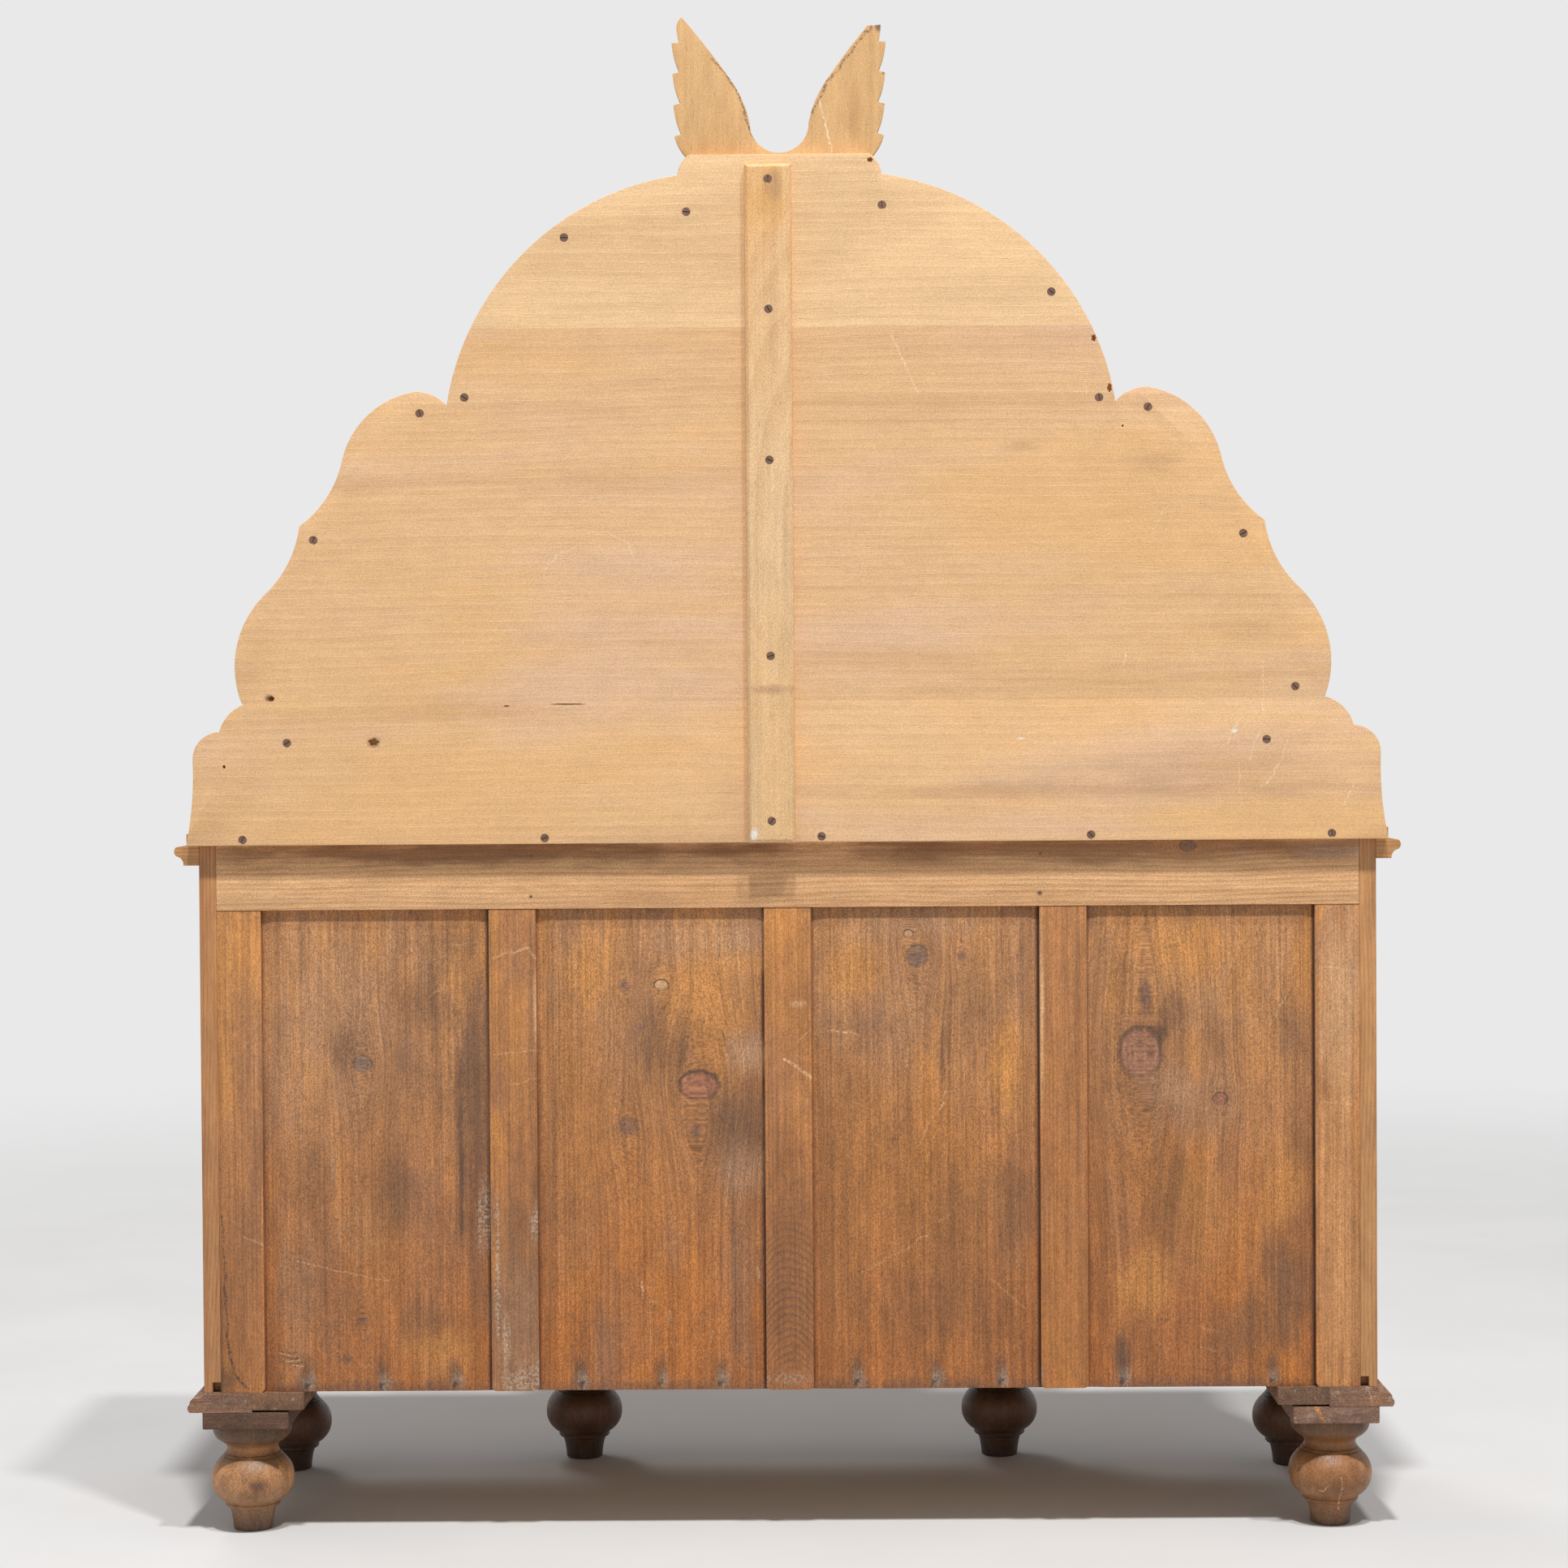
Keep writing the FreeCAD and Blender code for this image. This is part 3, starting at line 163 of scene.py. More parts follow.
# Tints that change along an axis: the axis, where they start and end, and the tint at each end.
# White leaves the colour as it is.
TINT_LIFT = (1.02, 1.02, 1.02)
# Grime and painted shade in the crevices where the back panels meet the muntins and stiles.
GRIME_AND_SHADE = (0.16, 0.12, 0.1)
FAINT_GRIME_AND_SHADE = (0.62, 0.56, 0.52)
BEVEL_TINT = (0.88, 0.86, 0.85)
# Painted shade: the back panels, stiles and muntins darker toward the bottom, with a slight lift at the top.
BACK_SHADE_CLIMB = ("Z", 183, 793, (0.93, 0.72, 0.5), TINT_LIFT)
UPRIGHT_SHADE_CLIMB = ("Z", 183, 793, (0.92, 0.82, 0.7), TINT_LIFT)
BATTEN_CLIMB = ("Z", 900, 1750, (1.0, 1.06, 1.14), (0.98, 0.94, 0.88))
SIDE_CLIMB = ("X", 700, 760, WHITE, (0.86, 0.8, 0.8))
# The feet darken to the front, which is painted shade under the cupboard, and at the toe and ankle. The
# darker shoulder and cup are painted shade under the plate, and the warmer neck is a painted highlight.
FEET_TINTS_AND_PAINTED_SHADE = (
    # Painted shade: the front feet darker, as under the cupboard.
    ("Y", -60, 130, (0.26, 0.23, 0.23), WHITE),
    ("Z", 0, 36, (0.52, 0.58, 0.68), WHITE),
    ("Z", 36, 62, (0.72, 0.73, 0.76), WHITE),
    # Painted shade on the shoulder, under the plate.
    ("Z", 82, 100, WHITE, (0.46, 0.5, 0.52)),
    # Painted highlight, warm, on the neck.
    ("Z", 100, 104, WHITE, (1.2, 1.02, 0.85)),
    # Painted shade on the cup, under the plate.
    ("Z", 112, 121, WHITE, (0.55, 0.6, 0.72)),
)

# Kinds of knot: face colour, its share, softness of its edge, share of the dark rim
KNOT_LOOKS = {
    "red": ((0.34, 0.138, 0.078), 0.8, 0.12, 0.75),
    "plum": ((0.32, 0.15, 0.09), 0.8, 0.14, 0.6),
    "soft": ((0.19, 0.095, 0.066), 0.75, 0.55, 0.1),
    "ringed": ((0.52, 0.31, 0.16), 0.8, 0.12, 0.95),
    "grey": ((0.23, 0.14, 0.095), 0.85, 0.25, 0.45),
}

# The figure of the wood. A noise is its scale, detail and roughness, and a scale of three numbers
# runs along, across and into the board. Levels are where a noise starts and ends its change.
BEND = ((1.6, 6.0, 6.0), 2.0)
BEND_REACH = 0.035
LEAN = ((0.9, 2.0, 2.0), 1.0)
LEAN_REACH = 0.1
YEAR_RISE = (0.25, 0.88)
YEAR_END = (1.0, 0.93)
FIBRES = ((38.0, 520.0, 520.0), 3.0, 0.65)
STREAKS = ((4.0, 70.0, 70.0), 5.0, 0.66)
STREAK_LEVELS = (0.34, 0.7)
MIDDLE_LEVELS = (0.28, 0.72)
PORES = ((70.0, 520.0, 520.0), 1.0)
PORE_EDGE = 0.12
SPECKLE_SCALES = ((420.0, 620.0, 620.0), (22.0, 45.0, 45.0), (3.0, 300.0, 300.0))
SPECKLE_NOISE = (3.0, 0.75)
TONE_NOISE = (1.0, 5.0, 0.6)
TONE_SHIFT = (7.3, 3.1, 5.7)
BOARD_SHIFT = 3.7
FIBRE_RELIEF = 0.6
YEAR_RELIEF = 0.5
PORE_RELIEF = 0.8
RELIEF_STRENGTH = 0.7
ROUGH_SPREAD = 0.07
COAT_ROUGHNESS = 0.3

# Patches, scratches, arches and knots
ON_FACE = (1.0, 0.0, 1.0)
SPOT_EDGE = (1.05, 0.15)
SPOT_NOISE = (1.0, 5.0, 0.62)
SPOT_STREAKS = (9.0, 48.0, 30.0)
STAIN_RAGGED = 1.7
FLECKS = (230.0, 4.0, 0.7)
FLECK_LEVELS = (0.45, 0.58)
SCRATCH_SWAY = (55.0, 3.0)
SWAY_REACH = 0.012
SCRATCH_EDGE = (1.0, 0.2)
SCRATCH_GAPS = (300.0, 3.0)
GAP_LEVELS = (0.36, 0.62, 0.1, 1.0)
ARCH_RAGGED = 0.5
ARCH_STRETCH = (3.8, 0.0, 1.0)
ARCH_SWAY = (20.0, 2.0)
ARCH_REACH = 0.02
ARCH_RING = 0.01
ARCH_RISE = (0.35, 0.9)
KNOT_WIDE = 2.4
KNOT_LONG = 5.5
KNOT_FALL = 0.3679
KNOT_PULL = -0.82
KNOT_NOISE = (110.0, 4.0, 0.6)
KNOT_UNEVEN = 0.35
KNOT_RINGS = 21.0
KNOT_RING_SHARE = 0.12
HALO_SHARE = 0.25
RIM_AT = 1.02
RIM_EDGE = (0.2, 0.03)
RIM_UPPER = (-1.1, 0.7, 0.45, 1.0)


# Node trees

class Tree:
    """A shader node tree with short calls for the nodes that the finishes use."""

    def __init__(self, tree):
        self.tree = tree

    def put(self, socket, value):
        if isinstance(value, bpy.types.NodeSocket):
            self.tree.links.new(value, socket)
        else:
            socket.default_value = (*value, 1) if socket.type == "RGBA" else value

    def node(self, kind, inputs=None, **settings):
        made = self.tree.nodes.new("ShaderNode" + kind)
        for name, value in settings.items():
            setattr(made, name, value)
        for key, value in (inputs or {}).items():
            self.put(made.inputs[key], value)
        return made

    def math(self, operation, *values):
        return self.node("Math", dict(enumerate(values)), operation=operation).outputs[0]

    def fold(self, operation, values):
        result = values[0]
        for value in values[1:]:
            result = self.math(operation, result, value)
        return result

    def plus(self, *values):
        return self.fold("ADD", values)

    def times(self, *values):
        return self.fold("MULTIPLY", values)

    def vector(self, operation, *values):
        made = self.node("VectorMath", dict(enumerate(values)), operation=operation)
        scalar = operation in ("LENGTH", "DOT_PRODUCT")
        return made.outputs["Value" if scalar else "Vector"]

    def split(self, place):
        return self.node("SeparateXYZ", {0: place}).outputs[:3]

    def join(self, x, y, z):
        return self.node("CombineXYZ", {0: x, 1: y, 2: z}).outputs[0]

    def object_place(self):
        return self.node("TexCoord").outputs["Object"]

    def noise(self, place, scale, detail, roughness=0.5):
        inputs = {"Vector": place, "Scale": scale, "Detail": detail, "Roughness": roughness}
        return self.node("TexNoise", inputs).outputs[0]

    def wander(self, place, *noise):
        """Noise about zero."""
        return self.math("SUBTRACT", self.noise(place, *noise), 0.5)

    def drawn_out(self, place, scale, *noise):
        """Noise with a scale of its own along each axis."""
        return self.noise(self.vector("MULTIPLY", place, scale), 1.0, *noise)

    def ease(self, value, low, high, first=0.0, last=1.0):
        """A smooth step from one value to another, between two levels of the input."""
        inputs = {0: value, 1: low, 2: high, 3: first, 4: last}
        made = self.node("MapRange", inputs, interpolation_type="SMOOTHSTEP")
        return made.outputs[0]

    def year_line(self, distance, ring, rise):
        """Late wood, which darkens slowly through each year and ends at once."""
        year = self.math("FRACT", self.math("DIVIDE", distance, ring))
        return self.times(self.ease(year, *rise), self.ease(year, *YEAR_END))

    def blend(self, share, under, over, kind="MIX"):
        inputs = {0: share, 6: under, 7: over}
        return self.node("Mix", inputs, data_type="RGBA", blend_type=kind).outputs[2]

    def use(self, group, **inputs):
        return self.node("Group", node_tree=group, inputs=inputs).outputs

    def close(self, colour, relief, roughness, **constants):
        """The shader and output, with the finish's constants on the shader's own sockets."""
        shader = self.node("BsdfPrincipled", {"Base Color": colour, "Roughness": roughness})
        for name, value in constants.items():
            shader.inputs[name.replace("_", " ")].default_value = value
        bump = self.node("Bump", dict(zip(("Height", "Distance", "Strength"), relief)))
        self.put(shader.inputs["Normal"], bump.outputs[0])
        self.node("OutputMaterial", {"Surface": shader.outputs[0]})


def new_group(name, inputs, outputs):
    """An empty node group: its tree, and its input and output sockets by name."""
    group = bpy.data.node_groups.new(name, "ShaderNodeTree")
    for way, sockets in (("INPUT", inputs), ("OUTPUT", outputs)):
        for socket, kind in sockets.items():
            group.interface.new_socket(socket, in_out=way, socket_type="NodeSocket" + kind)
    tree = Tree(group)
    start, end = (group.nodes.new("NodeGroup" + way) for way in ("Input", "Output"))
    return tree, start.outputs, end.inputs


def spot_group():
    """A soft patch with a ragged edge round a centre."""
    inputs = dict.fromkeys(("Place", "Centre", "Reach", "Streaks"), "Vector")
    tree, start, end = new_group("spot", {**inputs, "Ragged": "Float"}, {"Mask": "Float"})
    near = tree.vector("DIVIDE", tree.vector("SUBTRACT", start["Place"], start["Centre"]), start["Reach"])
    cloudy = tree.vector("MULTIPLY", start["Place"], start["Streaks"])
    wander = tree.times(tree.wander(cloudy, *SPOT_NOISE), start["Ragged"])
    tree.put(end["Mask"], tree.ease(tree.plus(tree.vector("LENGTH", near), wander), *SPOT_EDGE))
    return tree.tree


def scratch_group():
    """A thin, broken, slightly wandering line between two places."""
    inputs = {"Place": "Vector", "Start": "Vector", "Finish": "Vector", "Width": "Float"}
    tree, start, end = new_group("scratch", inputs, {"Mask": "Float"})
    sway = tree.times(tree.wander(start["Place"], *SCRATCH_SWAY), SWAY_REACH)
    place = tree.vector("ADD", start["Place"], tree.join(sway, 0.0, sway))
    run = tree.vector("SUBTRACT", start["Finish"], start["Start"])
    here = tree.vector("SUBTRACT", place, start["Start"])
    length = tree.vector("DOT_PRODUCT", run, run)
    share = tree.math("DIVIDE", tree.vector("DOT_PRODUCT", here, run), length)
    held = tree.math("MINIMUM", tree.math("MAXIMUM", share, 0.0), 1.0)
    near = tree.node("VectorMath", {0: run, "Scale": held}, operation="SCALE").outputs[0]
    off = tree.vector("LENGTH", tree.vector("SUBTRACT", here, near))
    line = tree.ease(tree.math("DIVIDE", off, start["Width"]), *SCRATCH_EDGE)
    broken = tree.ease(tree.noise(start["Place"], *SCRATCH_GAPS), *GAP_LEVELS)
    tree.put(end["Mask"], tree.times(line, broken))
    return tree.tree


def knot_group():
    """Bends the grain, which runs along X, round a knot, and gives the distance from its middle."""
    inputs = dict.fromkeys(("Grain", "Straight", "Centre", "Half"), "Vector")
    outputs = {"Grain": "Vector", "Distance": "Float", "Along": "Float", "Halo": "Float"}
    tree, start, end = new_group("knot", inputs, outputs)
    away = tree.vector("SUBTRACT", start["Straight"], start["Centre"])
    along, across, _ = tree.split(tree.vector("DIVIDE", away, start["Half"]))
    wide = tree.math("DIVIDE", across, KNOT_WIDE)
    long = tree.math("DIVIDE", along, KNOT_LONG)
    far = tree.plus(tree.times(wide, wide), tree.times(long, long))
    pull = tree.math("POWER", KNOT_FALL, far)
    _, sideways, _ = tree.split(away)
    shift = tree.times(sideways, pull, KNOT_PULL)
    tree.put(end["Grain"], tree.vector("ADD", start["Grain"], tree.join(0.0, shift, 0.0)))
    wander = tree.times(tree.wander(start["Straight"], *KNOT_NOISE), KNOT_UNEVEN)
    tree.put(end["Distance"], tree.plus(tree.vector("LENGTH", tree.join(along, across, 0.0)), wander))
    tree.put(end["Along"], along)
    tree.put(end["Halo"], pull)
    return tree.tree


SPOT = spot_group()
SCRATCH = scratch_group()
KNOT = knot_group()


# Finishes

def new_material(name):
    material = bpy.data.materials.new(name)
    material.use_nodes = True
    material.node_tree.nodes.clear()
    return material


class Pine(Tree):
    """One finish of pine, as a node tree. Grain coordinates are along, across and into the board."""

    ring = 0.0045
    shares = (0.35, 0.4, 0.4)
    heart = (0.05, 0.11)
    tilt = 0.02
    tones = ()
    knots = ()
    spots = ()
    scratches = ()
    scratch_tint = SCRATCHED
    arches = ()
    climbs = ()
    behind = None
    roughness = 0.62
    bump = 0.00022
    specks = 0.35
    pores_from = 0.68
    speckles = (0.12, 0.08, 0.1)
    coat = 0.0

    def __init__(self, name, grain, pale, deep, **looks):
        self.material = new_material(name)
        super().__init__(self.material.node_tree)
        self.order = (*grain, (set(AXES) - set(grain)).pop())
        self.pale, self.deep = pale, deep
        for key, value in looks.items():
            setattr(self, key, value)

    def cover(self, over, *masks):
        """Lays a colour over the face, by the product of its masks."""
        self.colour = self.blend(self.times(*masks), self.colour, over)

    def cover_rear(self, over, mask, percent):
        """Lays a colour over a board, or over the part of it behind a given depth."""
        if self.behind is None:
            return self.cover(over, mask, percent / 100)
        seen = self.ease(self.split(self.place)[1], self.behind, self.behind + MM)
        self.cover(over, mask, seen, percent / 100)

    def tint(self, over):
        self.colour = self.blend(1.0, self.colour, over, "MULTIPLY")

    def on_board(self, x, z, depth):
        """Millimetres of X and height as grain coordinates."""
        where = {"X": x * MM, "Y": 0.0, "Z": z * MM}
        return where[self.order[0]], where[self.order[1]], depth

    def lay_grain(self):
        """Sets the grain's coordinates, bent round the knots, and gives each knot's outputs and look."""
        parts = dict(zip(AXES, self.split(self.place)))
        seed = self.node("Attribute", attribute_name="board").outputs["Fac"]
        along, across, depth = (parts[axis] for axis in self.order)
        along = self.plus(along, self.times(seed, BOARD_SHIFT))
        self.grain = straight = self.join(along, across, depth)
        bent = []
        for x, z, half_x, half_z, kind in self.knots:
            where = {"Centre": self.on_board(x, z, 0.0), "Half": self.on_board(half_x, half_z, 1.0)}
            out = self.use(KNOT, Grain=self.grain, Straight=straight, **where)
            self.grain = out["Grain"]
            bent.append((out, *KNOT_LOOKS[kind]))
        return bent

    def figure(self):
        """Year rings, fibres and broad streaks, each from 0 to 1."""
        grain = self.grain
        along, across, depth = self.split(grain)
        bend = self.times(self.drawn_out(grain, *BEND), BEND_REACH)
        side = self.plus(across, self.heart[0], bend)
        lean = self.times(self.drawn_out(grain, *LEAN), LEAN_REACH)
        lean = self.plus(depth, self.times(along, self.tilt), self.heart[1], lean)
        radius = self.math("SQRT", self.plus(self.times(side, side), self.times(lean, lean)))
        late = self.year_line(radius, self.ring, YEAR_RISE)
        fibre = self.ease(self.drawn_out(grain, *FIBRES), *MIDDLE_LEVELS)
        return late, fibre, self.ease(self.drawn_out(grain, *STREAKS), *STREAK_LEVELS)

    def build(self):
        self.place = self.object_place()
        self.flat = self.vector("MULTIPLY", self.place, ON_FACE)
        bent = self.lay_grain()
        late, fibre, streak = self.figure()
        tone = self.plus(*(self.times(*part) for part in zip((late, fibre, streak), self.shares)))
        self.colour = self.blend(tone, self.pale, self.deep)
        self.cloud()
        self.arch()
        self.shade()
        self.stain_and_shade()
        for knot in bent:
            self.draw_knot(*knot)
        self.scratch()
        pore = self.ease(self.drawn_out(self.grain, *PORES), self.pores_from, self.pores_from + PORE_EDGE)
        self.cover(KNOT_DARK, pore, self.specks)
        self.speckle()
        height = self.plus(self.times(fibre, FIBRE_RELIEF), self.times(late, YEAR_RELIEF))
        height = self.math("SUBTRACT", height, self.times(pore, PORE_RELIEF))
        rough = self.ease(fibre, 0.0, 1.0, self.roughness - ROUGH_SPREAD, self.roughness + ROUGH_SPREAD)
        relief = (height, self.bump, RELIEF_STRENGTH)
        self.close(self.colour, relief, rough, Coat_Weight=self.coat, Coat_Roughness=COAT_ROUGHNESS)
        return self.material

    def cloud(self):
        """Broad changes of tone along the boards."""
        for number, (over, scale, low, high, share) in enumerate(self.tones):
            shift = (TONE_SHIFT[0] * number, TONE_SHIFT[1], TONE_SHIFT[2] * number)
            moved = self.vector("ADD", self.vector("MULTIPLY", self.grain, scale), shift)
            self.cover(over, self.ease(self.noise(moved, *TONE_NOISE), low, high), share)

    def spot(self, where, ragged):
        """The mask of one patch on a face, its ragged edge drawn out along the grain."""
        x, z, half_x, half_z = where
        streaks = dict(zip(self.order, SPOT_STREAKS))
        inputs = {"Centre": (x * MM, 0.0, z * MM), "Reach": (half_x * MM, 1.0, half_z * MM)}
        inputs["Streaks"] = tuple(streaks[axis] for axis in AXES)
        return self.use(SPOT, Place=self.flat, Ragged=ragged, **inputs)["Mask"]

    def arch(self):
        """Nested arches where a board was sawn flat to the rings."""
        for *where, share in self.arches:
            x, z, _, half_z = where
            foot = (x * MM, 0.0, (z - 2 * half_z) * MM)
            away = self.vector("MULTIPLY", self.vector("SUBTRACT", self.flat, foot), ARCH_STRETCH)
            sway = self.times(self.noise(self.flat, *ARCH_SWAY), ARCH_REACH)
            line = self.year_line(self.plus(self.vector("LENGTH", away), sway), ARCH_RING, ARCH_RISE)
            self.cover(KNOT_DARK, line, self.spot(where, ARCH_RAGGED), share)

    def shade(self):
        """Tints that change along one axis, such as painted shade toward the floor."""
        for axis, low, high, *tints in self.climbs:
            where = self.split(self.place)[AXES.index(axis)]
            self.tint(self.blend(self.ease(where, low * MM, high * MM), *tints))

    def stain_and_shade(self):
        """Stains and smears at their own places, with some painted shade and highlights. Powder lies in
        flecks.
        """
        flecks = self.ease(self.noise(self.flat, *FLECKS), *FLECK_LEVELS)
        for *where, over, share in self.spots:
            mask = self.spot(where, STAIN_RAGGED)
            self.cover_rear(over, self.times(mask, flecks) if over == POWDER else mask, share)

    def draw_knot(self, out, face, face_share, soft, rim_share):
        """A knot's face, with rings, and the dark line along its upper side."""
        distance = out["Distance"]
        self.cover(self.deep, out["Halo"], HALO_SHARE)
        mask = self.ease(distance, 1.0 + soft, 1.0 - soft)
        self.cover(face, mask, face_share)
        rings = self.ease(self.math("SINE", self.times(distance, KNOT_RINGS)), 0.0, 1.0)
        self.cover(KNOT_DARK, rings, mask, KNOT_RING_SHARE)
        edge = self.ease(self.math("ABSOLUTE", self.math("SUBTRACT", distance, RIM_AT)), *RIM_EDGE)
        self.cover(SOOT, edge, self.ease(out["Along"], *RIM_UPPER), rim_share)

    def scratch(self):
        """Scratches, in the finish's own scratch colour where they have none."""
        for x0, z0, x1, z1, width, share, *over in self.scratches:
            ends = {"Start": (x0 * MM, 0.0, z0 * MM), "Finish": (x1 * MM, 0.0, z1 * MM)}
            mask = self.use(SCRATCH, Place=self.flat, Width=width * MM, **ends)["Mask"]
            self.cover_rear(*(over or [self.scratch_tint]), mask, share)

    def speckle(self):
        """Fine grit, small mottling and long thin lines over the whole face."""
        for scale, amount in zip(SPECKLE_SCALES, self.speckles):
            drift = self.drawn_out(self.grain, scale, *SPECKLE_NOISE)
            level = self.ease(drift, *MIDDLE_LEVELS, 1.0 - amount, 1.0 + amount)
            self.tint(self.join(level, level, level))


METAL_PATCHES = (260.0, 5.0, 0.65)
PATCH_LEVELS = (0.42, 0.66)
METAL_PITS = (1400.0, 3.0)
PIT_RELIEF = (0.0001, 0.5)
WORN_ROUGHER = 0.3


def metal(name, colour, worn, roughness, metallic):
    """Old metal with patches of a second colour."""
    material = new_material(name)
    tree = Tree(material.node_tree)
    place = tree.object_place()
    patches = tree.ease(tree.noise(place, *METAL_PATCHES), *PATCH_LEVELS)
    pits = tree.noise(place, *METAL_PITS)
    mixed = tree.blend(patches, colour, worn)
    rough = tree.ease(patches, 0.0, 1.0, roughness, roughness + WORN_ROUGHER)
    tree.close(mixed, (pits, *PIT_RELIEF), rough, Metallic=metallic)
    return material


# Pieces

WELD = 1e-6
FLAT_DEG = 0.4
SHARP_DEG = 28.0
SMALL_FACE = 3e-5
WIDE_FACE = 5e-4
JOINT_REACH = 2e-4
BOARD_EASE = 0.0012
FINE_EASE = 0.0006
EASE_TRIES = (1.0, 0.4)
EASE_SEGMENTS = 2
EASE_PROFILE = 0.6
BOARD_STEP = 0.37
CUT_SIDES = 16
CUT_TAPER = 0.7


def new_object(name, data):
    made = bpy.data.objects.new(name, data)
    bpy.context.scene.collection.objects.link(made)
    return made


def new_data(name, mesh):
    """A finished bmesh as mesh data."""
    data = bpy.data.meshes.new(name)
    mesh.to_mesh(data)
    mesh.free()
    return data


def welded(node):
    """A node's own mesh, closed up, with its flat faces made whole."""
    mesh = bmesh.new()
    mesh.from_mesh(NODES[node].data)
    bmesh.ops.remove_doubles(mesh, verts=mesh.verts, dist=WELD)
    bmesh.ops.dissolve_limit(mesh, angle_limit=math.radians(FLAT_DEG), verts=mesh.verts, edges=mesh.edges)
    return mesh


def islands(mesh):
    """The separate solids of a mesh, each as a set of its faces."""
    left = set(mesh.faces)
    found = []
    for first in mesh.faces:
        if first not in left:
            continue
        group = set()
        rim = {first}
        while rim:
            group |= rim
            rim = {other for face in rim for edge in face.edges for other in edge.link_faces} - group
        left -= group
        found.append(group)
    return found


def span(faces):
    """The lowest and highest coordinates of a group of faces."""
    corners = [v.co for face in faces for v in face.verts]
    return [[pick(c[i] for c in corners) for i in range(3)] for pick in (min, max)]


def edges_to_ease(mesh, joints):
    """The outer arrises of the wood, apart from those in a glued joint."""
    def in_joint(edge):
        return any(all(abs(v.co.z - z) < JOINT_REACH for v in edge.verts) for z in joints)

    for edge in mesh.edges:
        if not edge.is_manifold or edge.calc_face_angle() < math.radians(SHARP_DEG):
            continue
        if min(face.calc_area() for face in edge.link_faces) >= SMALL_FACE and not in_joint(edge):
            yield edge


def eased(node, width, joints):
    """A node's solids with rounded arrises that stay within the node's own box."""
    low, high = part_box(node)
    for share in EASE_TRIES:
        mesh = welded(node)
        bmesh.ops.bevel(
            mesh, geom=list(edges_to_ease(mesh, joints)), offset=width * share, offset_type="OFFSET",
            segments=EASE_SEGMENTS, profile=EASE_PROFILE, affect="EDGES", clamp_overlap=False,
        )
        if all(low[i] - WELD <= v.co[i] <= high[i] + WELD for v in mesh.verts for i in range(3)):
            return mesh
        mesh.free()
    return welded(node)


def finished_piece(name, mesh, materials, node):
    """A shown piece made from a bmesh, with the given finishes, on the body of a node."""
    data = new_data(name, mesh)
    if data.has_custom_normals:
        data.attributes.remove(data.attributes["custom_normal"])
    data.set_sharp_from_angle(angle=math.radians(SHARP_DEG))
    for material in materials:
        data.materials.append(material)
    piece = new_object(name, data)
    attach(piece, NODES[node]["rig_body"])
    return piece


def dressed(node, finishes, width=BOARD_EASE, joints=()):
    """A piece that stands for a node: its eased solid, finished along each board's own length."""
    mesh = eased(node, width, joints)
    board = mesh.verts.layers.float.new("board")
    for number, faces in enumerate(islands(mesh)):
        sizes = [high - low for low, high in zip(*span(faces))]
        longest = AXES[sizes.index(max(sizes))]
        for face in faces:
            face.material_index = list(finishes).index(longest) if longest in finishes else 0
            face.smooth = face.calc_area() < WIDE_FACE
            for vert in face.verts:
                vert[board] = number * BOARD_STEP
    piece = finished_piece(node + "_eased", mesh, finishes.values(), node)
    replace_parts(piece, node)
    return piece


def ring_of(mesh, x, z, y, half_x, half_z, sides, uneven):
    """A ring of vertices round a place on a board, facing along Y."""
    ring = []
    for i in range(sides):
        turn = 2 * math.pi * i / sides
        out = 1.0 + uneven * math.sin(3 * turn + x) * math.cos(2 * turn + z)
        here_x = x + half_x * out * math.cos(turn)
        here_z = z + half_z * out * math.sin(turn)
        ring.append(mesh.verts.new((here_x * MM, y, here_z * MM)))
    return ring


def bridge(mesh, rings):
    """Side walls through a row of rings, and a lid on each end."""
    for first, last in zip(rings, rings[1:]):
        for i in range(len(first)):
            j = (i + 1) % len(first)
            mesh.faces.new((first[i], first[j], last[j], last[i]))
    mesh.faces.new(list(reversed(rings[0])))
    mesh.faces.new(rings[-1])
    bmesh.ops.recalc_face_normals(mesh, faces=mesh.faces)


def cut(piece, holes):
    """Holes, cracks and chips cut into a board's rear face by hidden cutters."""
    rear = max(v.co.y for v in piece.data.vertices)
    for number, (x, z, half_x, half_z, depth, uneven) in enumerate(holes):
        mesh = bmesh.new()
        inner = (half_x * CUT_TAPER, half_z * CUT_TAPER)
        deep = ring_of(mesh, x, z, rear - depth * MM, *inner, CUT_SIDES, uneven)
        mouth = ring_of(mesh, x, z, rear + MM, half_x, half_z, CUT_SIDES, uneven)
        bridge(mesh, (deep, mouth))
        name = "%s_cutter_%d" % (piece.name, number)
        cutter = new_object(name, new_data(name, mesh))
        cutter.hide_render = True
        modifier = piece.modifiers.new("hole_%d" % number, "BOOLEAN")
        modifier.object = cutter
        modifier.operation = "DIFFERENCE"
        modifier.solver = "EXACT"


# A foot's profile as radius and height in millimetres, and the lines incised round its shoulder
FOOT_TOE = (
    (23.6, 0.0), (25.6, 1.4), (26.6, 12.0), (28.2, 21.0), (30.5, 28.8), (34.6, 30.6), (36.4, 32.6),
)
FOOT_TURNING = (
    (36.6, 34.4), (36.0, 36.6), (43.0, 41.5), (49.4, 48.8), (53.3, 57.5), (54.3, 66.0), (53.7, 74.5),
    (50.8, 83.0), (46.0, 90.0), (40.2, 96.2), (36.4, 100.5), (34.2, 104.0), (33.4, 107.5), (34.6, 111.6),
    (38.8, 115.2), (44.6, 119.2), (49.0, 124.0), (51.2, 129.5), (51.6, 135.5), (51.0, 141.0),
)
FOOT_SPIGOT = 15.0
QUIRKS = (96.6, 100.4)
QUIRK_HALF = 0.8
QUIRK_DEPTH = 1.2
FOOT_SIDES = 48


